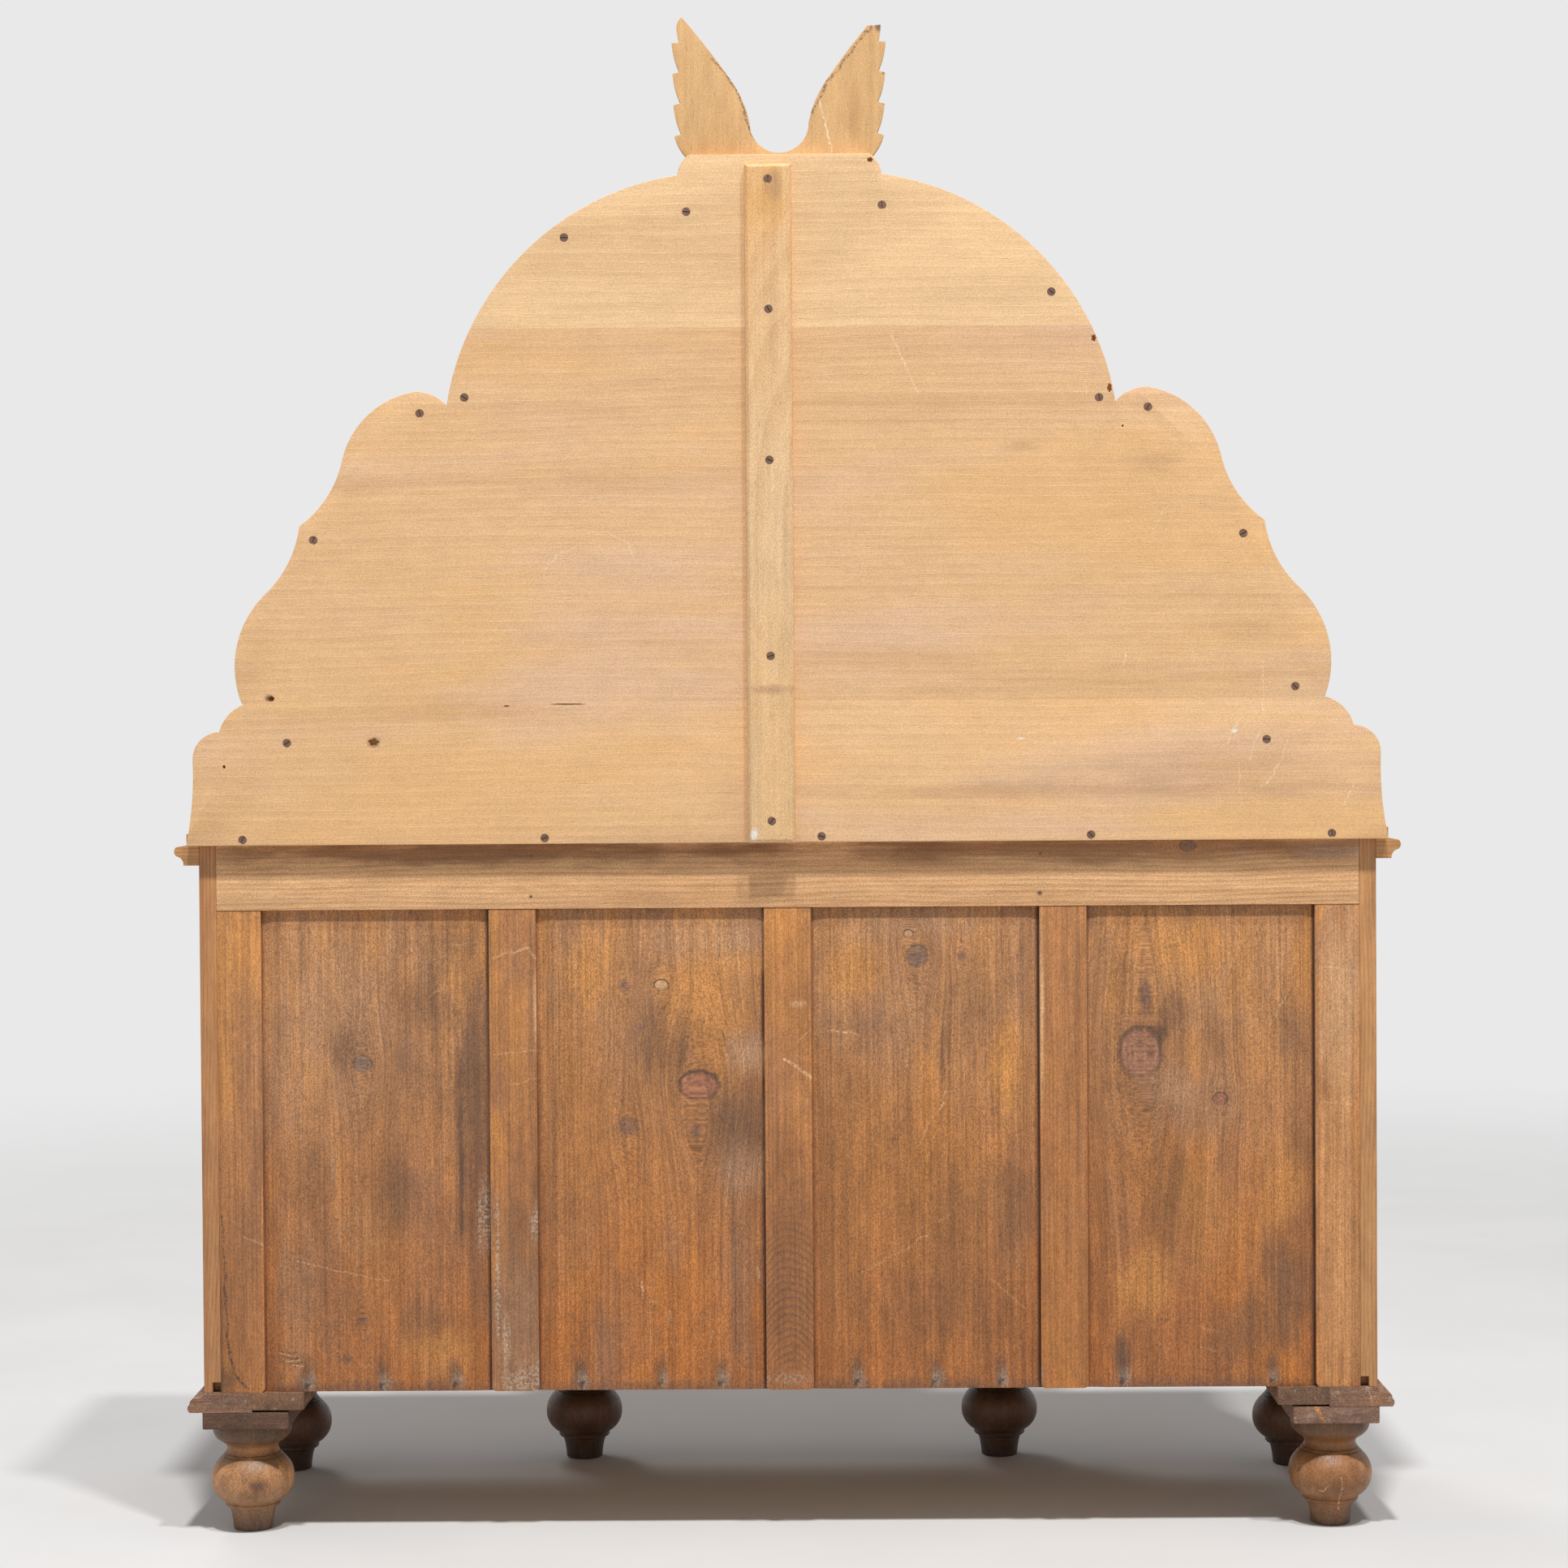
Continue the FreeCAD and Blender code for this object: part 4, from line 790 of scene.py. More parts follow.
def refined(line):
    """A line of points with a point added between each two, on a smooth curve through them."""
    ends = [line[0], *line, line[-1]]
    fine = [line[0]]
    for a, b, c, d in zip(ends, ends[1:], ends[2:], ends[3:]):
        fine += [tuple((9 * (b[i] + c[i]) - a[i] - d[i]) / 16 for i in range(2)), c]
    return fine


def foot_profile(top):
    """The whole turned profile, from the toe to the end of the spigot."""
    line = refined(refined(FOOT_TURNING))

    def radius(height):
        for (r0, z0), (r1, z1) in zip(line, line[1:]):
            if z0 <= height <= z1:
                return r0 + (r1 - r0) * (height - z0) / (z1 - z0)

    lines = [point for point in line if all(abs(point[1] - z) > QUIRK_HALF for z in QUIRKS)]
    for z in QUIRKS:
        lines += [(radius(z + side), z + side) for side in (-QUIRK_HALF, QUIRK_HALF)]
        lines.append((radius(z) - QUIRK_DEPTH, z))
    lines.sort(key=lambda point: point[1])
    return [*FOOT_TOE, *lines, (FOOT_SPIGOT, FOOT_TURNING[-1][1]), (FOOT_SPIGOT, top)]


def turned_feet(material):
    """The feet, turned finer than their solids, with a hollow neck and incised lines."""
    profile = foot_profile(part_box("feet")[1].z / MM)
    solids = welded("feet")
    mesh = bmesh.new()
    turns = [2 * math.pi * i / FOOT_SIDES for i in range(FOOT_SIDES)]
    for faces in islands(solids):
        x, y, _ = ((low + high) / 2 for low, high in zip(*span(faces)))
        rings = []
        for radius, z in profile:
            r = radius * MM
            ring = [(x + r * math.cos(t), y + r * math.sin(t), z * MM) for t in turns]
            rings.append([mesh.verts.new(place) for place in ring])
        bridge(mesh, rings)
    solids.free()
    for face in mesh.faces:
        face.smooth = True
    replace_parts(finished_piece("feet_turned", mesh, [material], "feet"), "feet")


# Nails along the back panels' lower ends, and a head's profile as radius and height over the panel
NAILS = {
    "back_panel_1": (626, 530, 434),
    "back_panel_2": (269, 168, 89),
    "back_panel_3": (-88, -188, -275),
    "back_panel_4": (-434, -627),
}
NAIL_Z = 200
NAIL_PROFILE = ((2.9, -0.6), (2.9, 0.3), (2.3, 0.7), (1.0, 0.9))
NAIL_SQUASH = 0.9
NAIL_SIDES = 12
NAIL_UNEVEN = 0.12


def nail_heads(node, material):
    """Old nail heads along a back panel's lower end."""
    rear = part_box(node)[1].y
    mesh = bmesh.new()
    for x in NAILS[node]:
        bridge(mesh, [
            ring_of(mesh, x, NAIL_Z, rear + y * MM, r, r * NAIL_SQUASH, NAIL_SIDES, NAIL_UNEVEN)
            for r, y in NAIL_PROFILE
        ])
    piece = finished_piece(node + "_nails", mesh, [material], node)


def finish_node(node, material):
    NODES[node].material_slots[0].material = material


# Dark worn edges of the crest's leaves, as places along them
CREST_EDGES = (
    ((-115, 1951), (-86, 1915), (-55, 1874), (-40, 1839)),
    ((90, 1911), (73, 1893), (54, 1861), (43, 1823), (36, 1808)),
    ((-134, 1912), (-130, 1890)),
    ((-134, 1876), (-131, 1852)),
    ((-133, 1840), (-131, 1815)),
    ((-132, 1806), (-127, 1790)),
)
EDGE_WIDTH = 2.6
EDGE_SHARE = 85
CREST_WEAR = [
    (*first, *last, EDGE_WIDTH, EDGE_SHARE, KNOT_DARK)
    for edge in CREST_EDGES for first, last in zip(edge, edge[1:])
]

# Knots on the finishes: X, height, halves, kind
KNOTS = {
    "back_rail": ((-519, 893, 11, 7, "grey"),),
    "back_panel_1": ((553, 616, 12, 10, "grey"), (555, 282, 6, 5, "soft")),
    "back_panel_2": (
        (164, 716, 9, 7, "ringed"), (116, 585, 25, 19, "red"), (209, 532, 14, 12, "soft"),
        (120, 526, 7, 8, "soft"), (212, 715, 6, 9, "soft"), (192, 661, 5, 4, "soft"),
    ),
    "back_panel_3": ((-168, 752, 13, 14, "grey"), (-157, 781, 6, 5, "ringed"), (-226, 751, 6, 6, "soft")),
    "back_panel_4": ((-457, 624, 27, 33, "plum"), (-464, 697, 6, 22, "soft"), (-560, 564, 9, 8, "red")),
}
# Stains and smears, with some painted shade and highlights: X, height, halves, colour, share in percent
SPOTS = {
    "gallery_middle": (
        (-307, 1410, 40, 10, SMUDGE, 35), (-474, 1384, 46, 22, SMUDGE, 25),
        (-600, 1173, 70, 25, SMUDGE, 22), (0, 1543, 900, 40, GALLERY_DEEP, 30), (666, 1091, 7, 6, SOOT, 80),
    ),
    "gallery_lower": (
        # The first is a darker band across the lower board, toward the right as seen from behind.
        (-400, 967, 560, 16, SMUDGE, 32), (-560, 993, 200, 40, SMUDGE, 20), (-577, 1041, 5, 3, PLASTER, 80),
        (-302, 1033, 6, 2, PLASTER, 50), (60, 953, 60, 60, SMUDGE, 18), (531, 1033, 11, 8, SOOT, 90),
    ),
    "batten": (
        (19, 1728, 40, 55, BATTEN_STAIN, 70), (19, 1098, 40, 9, SMUDGE, 60), (41, 912, 7, 12, PLASTER, 90),
        (12, 1743, 18, 26, SMUDGE, 50),
    ),
    "crest": ((-126, 1951, 8, 8, KNOT_DARK, 80), (-95, 1840, 12, 60, CREST_DEEP, 50)),
    "back_rail": (
        (-590, 886, 20, 16, DUST, 60), (-700, 886, 64, 18, DUST, 65), (-744, 885, 12, 16, PLASTER, 35),
        (331, 885, 3, 3, SOOT, 95), (332, 832, 3, 3, SOOT, 95), (-328, 884, 3, 3, SOOT, 95),
        # The two wide BACK_DEEP bands at height 890 are painted shadow on the rail's upper part, under the
        # gallery's overhang.
        (-327, 833, 5, 4, SOOT, 95), (400, 890, 620, 25, BACK_DEEP, 88),
        (-400, 890, 620, 25, BACK_DEEP, 74),
    ),
    "back_stile": (
        (744, 250, 18, 110, BASE_DEEP, 60), (738, 205, 34, 26, BASE_DEEP, 65),
        (-715, 683, 40, 180, STILE_DUSTY, 60), (-715, 353, 50, 330, STILE_WARM, 70),
        (705, 293, 30, 170, GREY, 25), (700, 753, 40, 60, ORANGE, 40), (705, 640, 40, 150, PLUM, 40),
    ),
    "back_muntin": (
        (351, 323, 60, 240, GREY, 80), (350, 250, 50, 180, ASH, 30), (379, 340, 5, 140, POWDER, 90),
        (331, 405, 10, 34, POWDER, 80), (335, 208, 30, 36, POWDER, 60), (368, 255, 8, 40, POWDER, 70),
        (352, 200, 40, 20, POWDER, 60), (-2, 203, 40, 12, POWDER, 70), (0, 330, 60, 240, BACK_DEEP, 60),
        (-352, 330, 60, 240, RUST, 50), (350, 700, 60, 220, BACK_DEEP, 25), (352, 640, 26, 150, ORANGE, 50),
        (0, 700, 60, 200, RUST, 40), (326, 683, 6, 70, SCRATCHED, 50), (-328, 683, 5, 170, SCRATCHED, 50),
        (-14, 691, 16, 7, SCRATCHED, 35), (-320, 205, 14, 26, NAIL_GREY, 60),
    ),
    "back_panel_1": (
        (540, 483, 230, 400, PLUM, 30), (600, 650, 110, 200, ASH, 45), (535, 430, 44, 220, RUST, 55),
        (572, 634, 36, 40, GREY, 70), (404, 560, 46, 300, GREY, 85), (426, 493, 4, 180, SOOT, 60),
        (480, 600, 60, 70, GREY, 45), (470, 270, 60, 50, GREY, 40), (635, 300, 40, 160, ASH, 40),
        (566, 400, 40, 60, BACK_PALE, 40), (470, 693, 70, 60, GREY, 50), (440, 773, 50, 60, GREY, 45),
        (453, 243, 70, 45, ORANGE, 60), (592, 488, 5, 35, DUST, 25), (510, 453, 40, 70, GREY, 60),
        (398, 413, 14, 70, POWDER, 70), (630, 463, 40, 70, GREY, 40), (610, 323, 90, 100, GREY, 30),
        (576, 231, 10, 10, GREY, 80), (647, 230, 24, 14, BACK_DEEP, 50),
    ),
    "back_panel_2": (
        (165, 633, 80, 75, GREY, 72), (66, 528, 62, 95, GREY, 80), (52, 625, 46, 40, ASH, 85),
        (60, 770, 50, 50, ASH, 70), (64, 745, 45, 26, ORANGE, 55), (72, 370, 4, 190, SOOT, 60),
        (278, 530, 50, 270, RUST, 60), (255, 733, 45, 60, ORANGE, 60), (62, 470, 40, 50, ASH, 60),
        (62, 330, 34, 160, PLUM, 60), (130, 773, 70, 40, ASH, 50), (240, 230, 26, 90, PLUM, 60),
        (150, 380, 30, 60, PLUM, 50), (42, 342, 4, 7, POWDER, 100),
    ),
    "back_panel_3": (
        (-120, 676, 75, 90, PLUM, 60), (-200, 638, 7, 55, SOOT, 40), (-264, 593, 5, 140, SOOT, 40),
        (-282, 432, 60, 90, GREY, 55), (-283, 611, 40, 90, ORANGE, 80), (-83, 729, 55, 55, ORANGE, 70),
        (-170, 450, 130, 160, RUST, 70), (-70, 450, 46, 230, RUST, 60), (-146, 690, 30, 46, BACK_PALE, 50),
        (-215, 390, 60, 150, BACK_DEEP, 50), (-74, 500, 46, 340, BACK_DEEP, 35),
        (-230, 683, 60, 70, GREY, 30), (-180, 293, 150, 70, BACK_DEEP, 50), (-170, 793, 140, 26, ASH, 45),
    ),
    "back_panel_4": (
        (-500, 677, 32, 40, GREY, 65), (-648, 650, 32, 70, GREY, 55), (-557, 643, 22, 44, GREY, 60),
        (-644, 325, 50, 105, GREY, 80), (-592, 262, 60, 56, GREY, 55), (-497, 425, 55, 110, BACK_DEEP, 75),
        (-644, 450, 44, 70, ORANGE, 60), (-505, 560, 60, 70, PLUM, 70), (-540, 568, 80, 70, ASH, 35),
        (-460, 323, 50, 70, ORANGE, 70), (-520, 763, 110, 60, ORANGE, 60), (-464, 702, 7, 34, SOOT, 60),
        (-488, 578, 40, 34, ASH, 50), (-480, 650, 18, 18, SOOT, 75), (-433, 228, 17, 36, GREY, 90),
        (-540, 413, 60, 90, ORANGE, 40),
    ),
    "plate": ((720, 152, 170, 60, BLOCK_DEEP, 80), (-720, 152, 150, 50, BASE_ASH, 30)),
    "feet": (
        # The first is a painted highlight on the left foot's neck.
        (709, 106, 70, 10, FOOT_WARM, 45), (693, 66, 22, 16, FOOT_BROWN, 80),
        (693, 66, 15, 11, KNOT_DARK, 85), (-713, 66, 14, 12, KNOT_DARK, 55),
        (-730, 18, 16, 22, BASE_DEEP, 70), (-709, 70, 80, 90, FOOT_BROWN, 80),
    ),
}
# Scratches: ends, half width, share in percent and, where not the finish's own, colour
SCRATCHES = {
    "gallery_middle": (
        (-387, 1493, -388, 1475, 1, 80), (-473, 1295, -486, 1328, 0.9, 70), (-542, 1175, -550, 1199, 1, 80),
        (-523, 1148, -527, 1131, 1, 80), (-435, 1126, -438, 1143, 1.2, 90), (-612, 1132, -614, 1086, 1, 70),
        (312, 1247, 295, 1272, 1.4, 60), (295, 1272, 267, 1284, 1.4, 60), (226, 1300, 201, 1288, 1.4, 70),
        (201, 1288, 195, 1268, 1.4, 70), (-138, 1554, -171, 1480, 2.2, 50),
    ),
    "gallery_lower": (
        (-613, 1084, -614, 1060, 1, 70), (-567, 1024, -587, 1060, 1, 80), (-596, 1003, -612, 1053, 0.9, 70),
        (-646, 1028, -632, 991, 1.2, 70), (-632, 991, -611, 966, 1.4, 80), (-730, 972, -718, 944, 1.3, 70),
        (-583, 1000, -585, 944, 1, 50),
    ),
    "crest": ((-48, 1859, -66, 1784, 2, 80, PALE_SCRATCH), *CREST_WEAR),
    "back_stile": (
        (736, 420, 733, 330, 2.4, 70, SOOT), (733, 330, 731, 262, 2.6, 80, SOOT),
        (731, 262, 727, 232, 2.8, 90, SOOT), (727, 232, 718, 207, 2.8, 90, SOOT),
        (718, 207, 704, 193, 2.8, 90, SOOT), (709, 393, 683, 381, 1.4, 60), (-690, 735, -735, 728, 2, 40),
        (-692, 560, -730, 556, 2, 40),
    ),
    "back_muntin": (
        (380, 753, 337, 766, 2.4, 50), (337, 766, 326, 751, 2.6, 60), (381, 627, 328, 633, 1.4, 50),
        (362, 590, 326, 595, 1.4, 50), (4, 619, -33, 593, 3.2, 90), (-14, 642, -33, 658, 1.2, 60),
    ),
    "back_panel_1": (
        (641, 359, 519, 331, 1.2, 55), (446, 769, 401, 774, 1.8, 35), (465, 703, 446, 716, 1.8, 35),
        (662, 238, 645, 236, 1.8, 70), (656, 230, 636, 228, 2, 70), (648, 224, 634, 222, 1.6, 70),
        (660, 234, 640, 232, 1.6, 80, SOOT), (652, 226, 634, 225, 1.4, 70, SOOT),
        (664, 241, 646, 240, 1.2, 60, SOOT),
    ),
    "back_panel_2": (
        (191, 329, 191, 309, 2, 80), (157, 293, 157, 270, 2, 70), (102, 267, 102, 251, 1.6, 80),
        (42, 346, 42, 334, 2.4, 80), (187, 303, 168, 303, 1.1, 60), (187, 289, 171, 289, 1.1, 60),
    ),
    "back_panel_3": (
        (-51, 656, -89, 651, 1.8, 80), (-153, 633, -154, 607, 1.3, 60), (-206, 575, -195, 554, 2, 70),
        (-193, 552, -166, 504, 1.2, 35), (-95, 340, -187, 394, 1.5, 50), (-195, 405, -210, 415, 1.5, 50),
        (-265, 329, -306, 292, 2, 35),
    ),
    "back_panel_4": (
        (-646, 697, -625, 660, 1.5, 60), (-534, 240, -555, 236, 1.4, 50), (-536, 266, -556, 261, 2, 40),
    ),
    "feet": (
        (-687, 52, -692, 51, 1.6, 70), (-692, 51, -698, 58, 1.5, 70), (-713, 72, -716, 52, 1.5, 50),
        (-718, 58, -715, 24, 1.6, 80), (-676, 58, -680, 48, 3, 50, FOOT_WARM),
    ),
}
MARKS = {"knots": KNOTS, "spots": SPOTS, "scratches": SCRATCHES}
# Nested arches on the middle muntin: X, height, halves, share
MUNTIN_ARCH = (-2, 310, 60, 170, 1)

# The looks of each group of boards. A tone is its colour, scale, two levels and share. Shares are those
# of year rings, fibres and streaks. Speckles are grit, mottling and thin lines.
BLOTCHES = (
    (ASH, (5, 8, 8), 0.5, 0.66, 0.35),
    (ORANGE, (3, 9, 9), 0.46, 0.62, 0.65),
    (PLUM, (4.5, 15, 15), 0.49, 0.64, 0.5),
    (BACK_DEEP, (2.5, 60, 60), 0.52, 0.68, 0.4),
)
GALLERY_TONES = (
    (GALLERY_WARM, (1.8, 6, 6), 0.44, 0.68, 0.85),
    (GALLERY_PINK, (1.5, 8, 8), 0.48, 0.7, 0.8),
    (GALLERY_DEEP, (1.4, 20, 20), 0.5, 0.74, 0.45),
)
UPPER_TONES = ((UPPER_DEEP, (1.2, 12, 12), 0.46, 0.74, 0.6),)
SAWN_TONES = (
    (DUST, (70, 95, 95), 0.54, 0.7, 0.5),
    (KNOT_DARK, (13, 20, 20), 0.48, 0.72, 0.55),
    (BASE_WARM, (7, 12, 12), 0.5, 0.7, 0.45),
)
FOOT_TONES = (
    (FOOT_DEEP, (11, 15, 15), 0.48, 0.72, 0.55),
    (FOOT_WARM, (8, 11, 11), 0.48, 0.7, 0.6),
)
# Depths that keep marks to the rear: in from the gallery's rear face, and along the base
REAR_DEPTH = 0.003
BASE_REAR = 0.1
BOARDS = dict(
    behind=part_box("gallery_board_middle")[1].y - REAR_DEPTH, scratch_tint=PALE_SCRATCH, tones=GALLERY_TONES,
    ring=0.012, shares=(0.13, 0.12, 0.16), speckles=(0.17, 0.04, 0.03), specks=0.15, heart=(0.35, 0.05),
    tilt=0.01,
)
BATTEN = dict(
    ring=0.006, shares=(0.28, 0.24, 0.4), speckles=(0.24, 0.06, 0.06), specks=0.4, tones=GALLERY_TONES[:1],
    climbs=(BATTEN_CLIMB,),
)
CREST = dict(
    ring=0.007, shares=(0.16, 0.16, 0.2), speckles=(0.2, 0.06, 0.05), specks=0.4, heart=(0.02, 0.3),
)
AGED = dict(
    shares=(0.14, 0.18, 0.26), speckles=(0.46, 0.12, 0.22), specks=0.6, pores_from=0.66, tones=BLOTCHES,
)
RAIL = dict(
    ring=0.006, shares=(0.38, 0.24, 0.4), speckles=(0.3, 0.08, 0.1),
    tones=((BACK_PALE, (1.5, 12, 12), 0.48, 0.7, 0.5),),
)
UPRIGHT = dict(AGED, speckles=(0.34, 0.12, 0.22), ring=0.0036, tones=BLOTCHES[1:], climbs=(UPRIGHT_SHADE_CLIMB,))
WAXED = dict(roughness=0.42, coat=0.15, specks=0.25)
SIDE = dict(WAXED, tones=((GREY, (5, 9, 9), 0.52, 0.72, 0.35),), climbs=(SIDE_CLIMB,))
PLAIN = dict(roughness=0.7)
PACKING = dict(
    roughness=0.85, bump=0.0006, shares=(0.06, 0.15, 0.22), speckles=(0.5, 0.22, 0.04), behind=BASE_REAR,
    tones=SAWN_TONES,
)
SAWN = dict(
    PACKING,
    scratches=((-683, 162, -692, 144, 4.5, 90, ORANGE), (-751, 183, -753, 171, 1.5, 80, DUST)),
    spots=((740, 176, 60, 16, KNOT_DARK, 50), (-760, 172, 16, 14, BASE_WARM, 60)),
)
TURNED = dict(
    roughness=0.5, ring=0.009, shares=(0.1, 0.2, 0.24), speckles=(0.42, 0.24, 0.04), behind=BASE_REAR,
    tones=FOOT_TONES, climbs=FEET_TINTS_AND_PAINTED_SHADE,
)

# Each finish: the axes along and across its grain, its colours and its looks
PINES = {
    "gallery_upper": ("XZ", UPPER_PALE, UPPER_DEEP, dict(BOARDS, tones=UPPER_TONES)),
    "gallery_middle": ("XZ", GALLERY_PALE, GALLERY_DEEP, BOARDS),
    "gallery_lower": ("XZ", GALLERY_PALE, GALLERY_DEEP, BOARDS),
    "batten": ("ZX", *BATTEN_WOOD, BATTEN),
    "crest": ("ZX", CREST_PALE, CREST_DEEP, CREST),
    "back_rail": ("XZ", *RAIL_WOOD, RAIL),
    "back_stile": ("ZX", *STILE_WOOD, UPRIGHT),
    "back_muntin": ("ZX", *MUNTIN_WOOD, dict(UPRIGHT, arches=(MUNTIN_ARCH,))),
    "case_side": ("ZY", *WAXED_WOOD, SIDE),
    "top": ("XY", *WAXED_WOOD, WAXED),
    "block": ("YZ", BLOCK_PALE, BLOCK_DEEP, PACKING),
    "plate": ("XZ", *PLATE_WOOD, SAWN),
    "feet": ("ZX", FOOT_PALE, FOOT_DEEP, TURNED),
}
# Woods that lie along more than one axis: the axes of each, the colours and the looks
WOODS = {
    "case": (("XZ", "YZ", "ZX"), *WAXED_WOOD, WAXED),
    "inside": (("XY", "YX", "ZY"), *INSIDE_WOOD, PLAIN),
    "base": (("XZ", "YZ"), BASE_PALE, BASE_DEEP, SAWN),
}


def with_marks(key, looks):
    return {**looks, **{kind: places[key] for kind, places in MARKS.items() if key in places}}


def make_finishes():
    made = {}
    for key, (*wood, looks) in PINES.items():
        made[key] = Pine(key + "_pine", *wood, **with_marks(key, looks)).build()
    for wood, (grains, *colours, looks) in WOODS.items():
        made[wood] = {}
        for grain in grains:
            name = "%s_pine_%s" % (wood, grain[0].lower())
            made[wood][grain[0]] = Pine(name, grain, *colours, **looks).build()
    for key, looks in METALS.items():
        made[key] = metal(*looks)
    return made


PANEL_LAP = 8.0
FIELD_BORDER = 25.0
# Marks round a nail, as spots that are placed from the nail
NAIL_MARKS = (
    (2, 14, 13, 28, GREY, 75), (-2, 2, 12, 17, NAIL_GREY, 35), (-2, 2, 12, 17, POWDER, 30),
    (3, -4, 4, 7, SOOT, 80),
)
FOOT_DIRT = (260, 18, KNOT_DARK, 60)
# Where the grime and painted shade along a panel's edges fade, in millimetres from the edge.
CORNER_GRIME_AND_SHADE = (1.5, 6.5)
FAINT_CORNER = 5
BEVEL_EDGE = 2


def panel_finish(node):
    """A back panel's finish, with rust round its nails, dirt at its lower end, painted shade toward its lower
    end, grime and painted shade along its edges by the muntins and stiles, and a darker border.
    """
    looks = with_marks(node, AGED)
    (x0, _, z0), (x1, _, z1) = ([c / MM for c in corner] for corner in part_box(node))
    rust = [(x + dx, NAIL_Z + dz, *spot) for x in NAILS[node] for dx, dz, *spot in NAIL_MARKS]
    looks["spots"] = (*looks["spots"], ((x0 + x1) / 2, z0, *FOOT_DIRT), *rust)
    first, last, top = x0 + PANEL_LAP, x1 - PANEL_LAP, z1 - PANEL_LAP
    left, right, upper = first + FIELD_BORDER, last - FIELD_BORDER, top - FIELD_BORDER
    looks["climbs"] = (
        BACK_SHADE_CLIMB,
        # Grime and painted shade along the panel's edges by the muntins and stiles.
        ("X", first + CORNER_GRIME_AND_SHADE[0], first + CORNER_GRIME_AND_SHADE[1], GRIME_AND_SHADE, WHITE),
        ("X", last - FAINT_CORNER, last, WHITE, FAINT_GRIME_AND_SHADE),
        ("X", left, left + BEVEL_EDGE, BEVEL_TINT, WHITE),
        ("X", right - BEVEL_EDGE, right, WHITE, BEVEL_TINT),
        ("Z", upper - BEVEL_EDGE, upper, WHITE, BEVEL_TINT),
    )
    return Pine(node + "_pine", "ZX", BACK_PALE, BACK_DEEP, **looks).build()


# Holes, cracks and chips in the rear faces: X, height, halves, depth, unevenness
GALLERY_HOLES = {
    "upper": ((-113, 1777, 4.0, 3.2, 9, 0.3),),
    "middle": (
        (663, 1090, 4.2, 3.6, 12, 0.2), (-435, 1434, 1.4, 1.6, 7, 0.0), (-399, 1547, 3.0, 4.5, 9, 0.4),
        (-419, 1483, 3.0, 6.0, 8, 0.4),
    ),
    "lower": (
        (531, 1033, 6.5, 4.8, 11, 0.5), (725, 1003, 2.0, 2.4, 9, 0.1), (279, 1081, 24.0, 0.8, 7, 0.2),
        (360, 1079, 4.0, 0.9, 6, 0.2),
    ),
}
CREST_CHIPS = ((-118, 1966, 26.0, 14.0, 40, 0.08), (-141, 1945, 9.0, 22.0, 40, 0.05))


def make_object(made):
    case, inside = made["case"], made["inside"]
    joints = [corner.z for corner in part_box("gallery_board_middle")]
    for part, holes in GALLERY_HOLES.items():
        cut(dressed("gallery_board_" + part, {"X": made["gallery_" + part]}, joints=joints), holes)
    dressed("gallery_batten", {"Z": made["batten"]}, FINE_EASE)
    cut(dressed("crest", {"Z": made["crest"]}, FINE_EASE), CREST_CHIPS)
    for node in ("arch_mouldings", "side_mouldings"):
        finish_node(node, case["X"])
    dressed("back_rail", {"X": made["back_rail"]})
    for part in ("back_stile", "back_muntin"):
        dressed(part + "s", {"Z": made[part]})
    for node in NAILS:
        dressed(node, {"Z": panel_finish(node)}, FINE_EASE)
        nail_heads(node, made["nails"])
    for side in ("left", "right"):
        dressed("case_side_" + side, {"Z": made["case_side"]})
        dressed("partition_" + side, {"Z": made["case_side"]})
        for door in ("inner", "outer"):
            name = "door_%s_%s" % (door, side)
            dressed(name + "_frame", case)
            dressed(name + "_panel", {"Z": case["Z"]}, FINE_EASE)
            finish_node(name + "_knob", case["Y"])
            finish_node(name + "_hinge_leaves", made["brass"])
    for bay in ("left", "centre", "right"):
        dressed("drawer_%s_front" % bay, {"X": case["X"]})
        dressed("drawer_%s_box" % bay, inside, FINE_EASE)
        finish_node("drawer_%s_knobs" % bay, case["Y"])
        dressed("shelf_" + bay, {"X": inside["X"]})
    for node in ("drawer_kickers", "drawer_runners", "shelf_bearers", "bottom_board"):
        dressed(node, inside, FINE_EASE)
    dressed("front_rails", case, FINE_EASE)
    dressed("top_board", {"X": made["top"]})
    dressed("top_moulding", case, FINE_EASE)
    dressed("plinth_frame", made["base"], FINE_EASE)
    dressed("plinth_blocks", {"Y": made["block"]}, FINE_EASE)
    dressed("foot_plates", {"X": made["plate"]})
    turned_feet(made["feet"])
    finish_node("gallery_screws", made["iron"])
    finish_node("hinge_leaves_case", made["brass"])
    finish_node("hinge_pins", made["brass"])


# Stage, light and camera

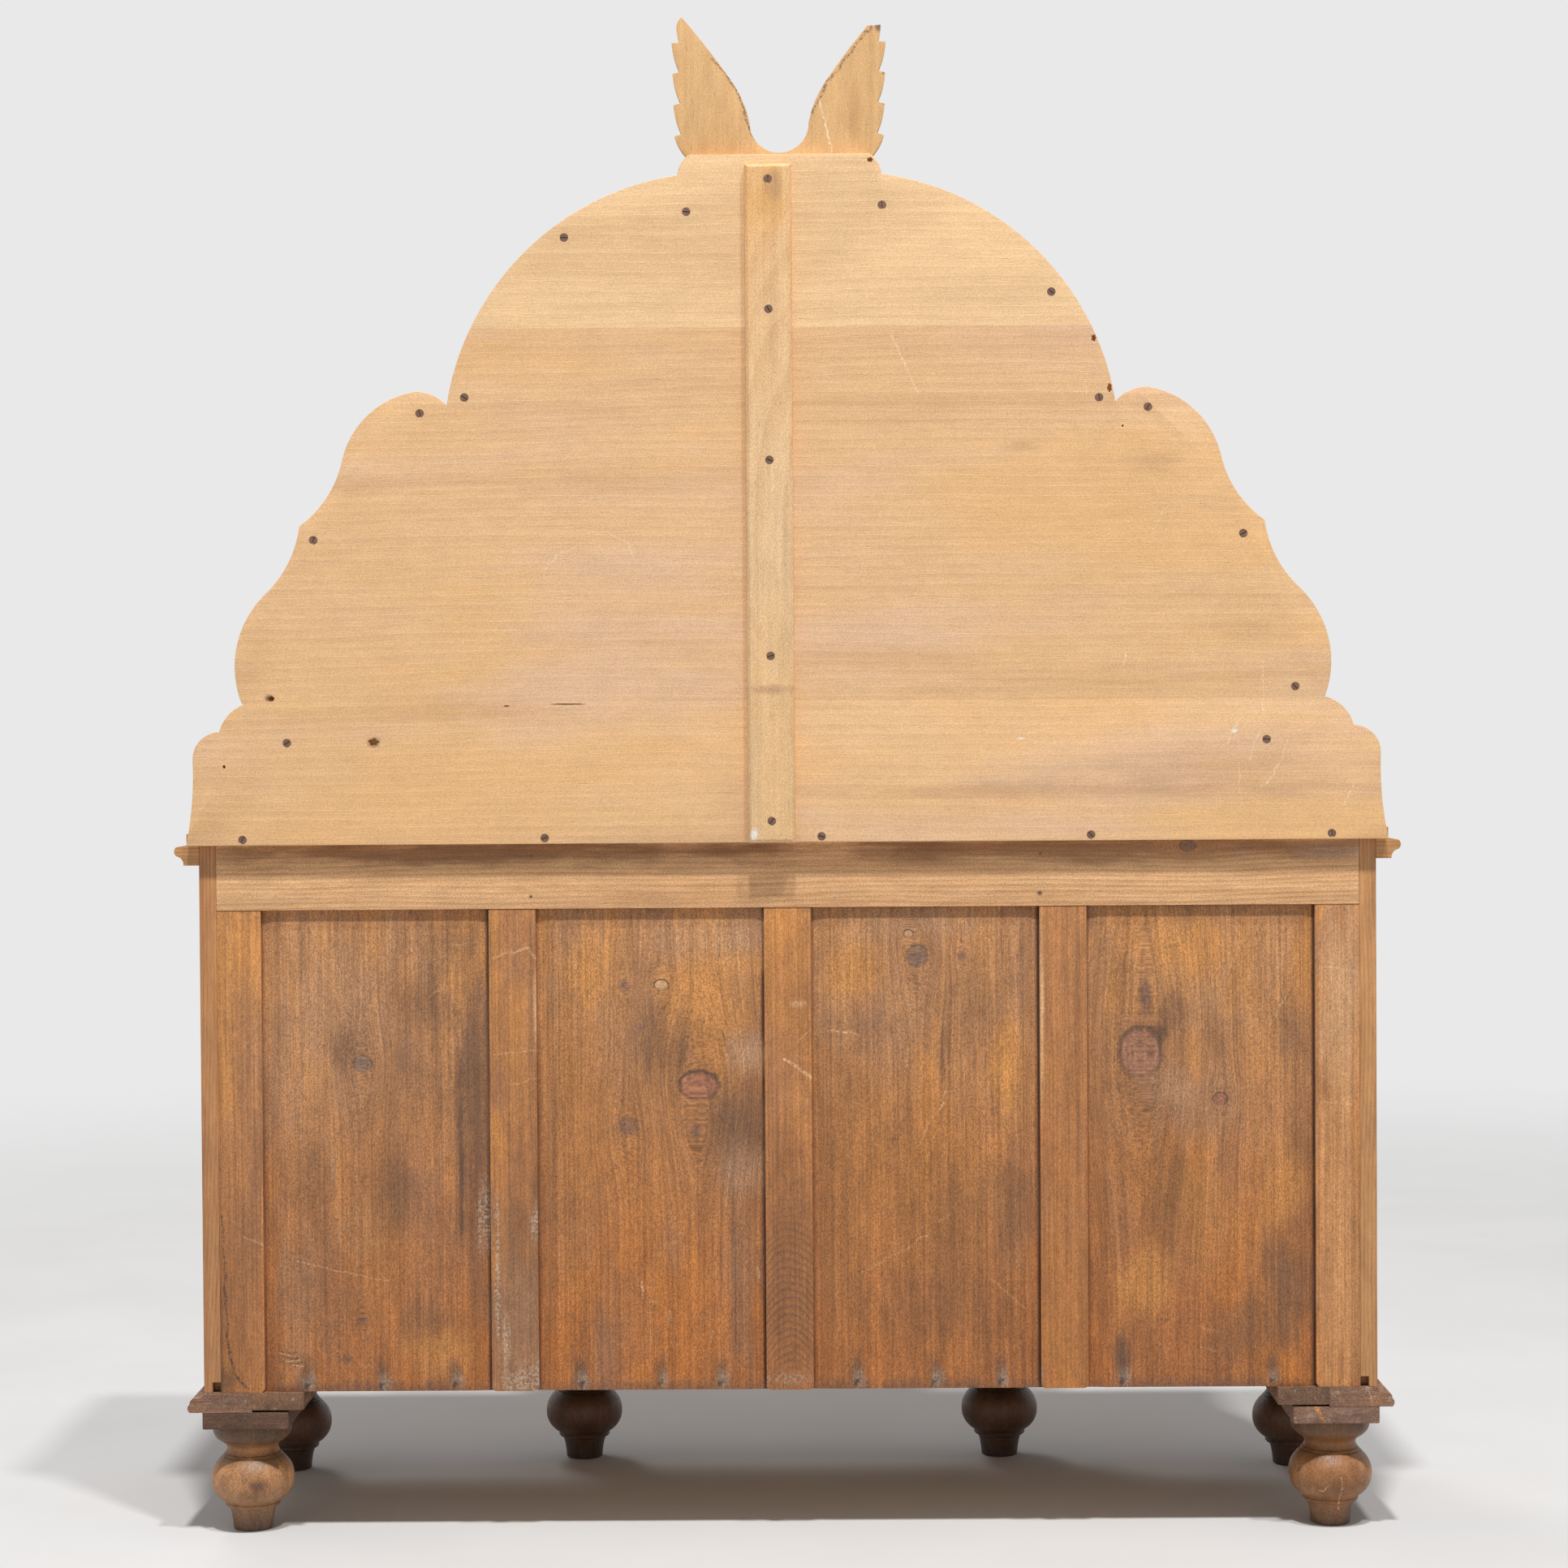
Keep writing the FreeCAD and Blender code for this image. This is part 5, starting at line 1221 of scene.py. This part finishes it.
def make_floor():
    mesh = bpy.data.meshes.new("floor")
    half = FLOOR_HALF
    corners = [(-half, -half, 0), (half, -half, 0), (half, half, 0), (-half, half, 0)]
    mesh.from_pydata(corners, [], [(0, 1, 2, 3)])
    floor = new_object("floor", mesh)
    material = new_material("floor_finish")
    mesh.materials.append(material)
    tree = Tree(material.node_tree)
    place = tree.object_place()
    clouds = tree.ease(tree.noise(place, *FLOOR_CLOUDS), *FLOOR_LEVELS)
    colour = tree.blend(tree.times(clouds, FLOOR_CLOUD_SHARE), FLOOR_COLOUR, BACKDROP)
    ground = tree.node("BsdfDiffuse", {"Color": colour}).outputs[0]
    clear = tree.node("BsdfTransparent").outputs[0]
    share = tree.ease(tree.vector("LENGTH", place), *FLOOR_FADE)
    both = tree.node("MixShader", {0: share, 1: ground, 2: clear}).outputs[0]
    tree.node("OutputMaterial", {"Surface": both})


def make_world():
    world = bpy.data.worlds.new("studio")
    bpy.context.scene.world = world
    world.use_nodes = True
    world.node_tree.nodes.clear()
    tree = Tree(world.node_tree)
    rays = tree.node("LightPath").outputs
    shown_to = ("Is Camera Ray", "Is Glossy Ray", "Is Transmission Ray")
    seen = tree.fold("MAXIMUM", [rays[way] for way in shown_to])
    lit = tree.node("Background", {"Color": WHITE, "Strength": AMBIENT}).outputs[0]
    shown = tree.node("Background", {"Color": BACKDROP, "Strength": 1.0}).outputs[0]
    both = tree.node("MixShader", {0: seen, 1: lit, 2: shown}).outputs[0]
    tree.node("OutputWorld", {"Surface": both})


def make_light():
    low, high = cad_box
    target = (low + high) / 2
    for name, (way, size, power) in LAMPS.items():
        lamp = bpy.data.lights.new(name, "AREA")
        lamp.shape = "DISK"
        lamp.size = size
        lamp.energy = power
        holder = new_object(name, lamp)
        holder.location = target + Vector(way).normalized() * LAMP_DISTANCE
        holder.rotation_euler = (target - holder.location).to_track_quat("-Z", "Y").to_euler()


def make_camera():
    camera = bpy.data.cameras.new("camera")
    camera.sensor_width = SENSOR_MM
    camera.lens = FOCAL_PIXELS / PHOTO_SIDE * SENSOR_MM
    holder = new_object("camera", camera)
    middle = PHOTO_SIDE / 2
    left = (LEVEL_PIXEL[0] - middle) / FOCAL_PIXELS
    down = (middle - LEVEL_PIXEL[1]) / FOCAL_PIXELS
    forward = Vector((left, -1.0, -down)).normalized()
    right = forward.cross(Vector((0, 0, 1))).normalized()
    up = right.cross(forward)
    tipped = right * math.cos(CAMERA_ROLL) - up * math.sin(CAMERA_ROLL)
    up = tipped.cross(forward)
    turn = Matrix((tipped, up, -forward)).transposed()
    holder.matrix_world = Matrix.Translation(CAMERA_PLACE) @ turn.to_4x4()
    bpy.context.scene.camera = holder


make_object(make_finishes())
make_floor()
make_world()
make_light()
make_camera()
bpy.context.scene.view_settings.view_transform = "Standard"
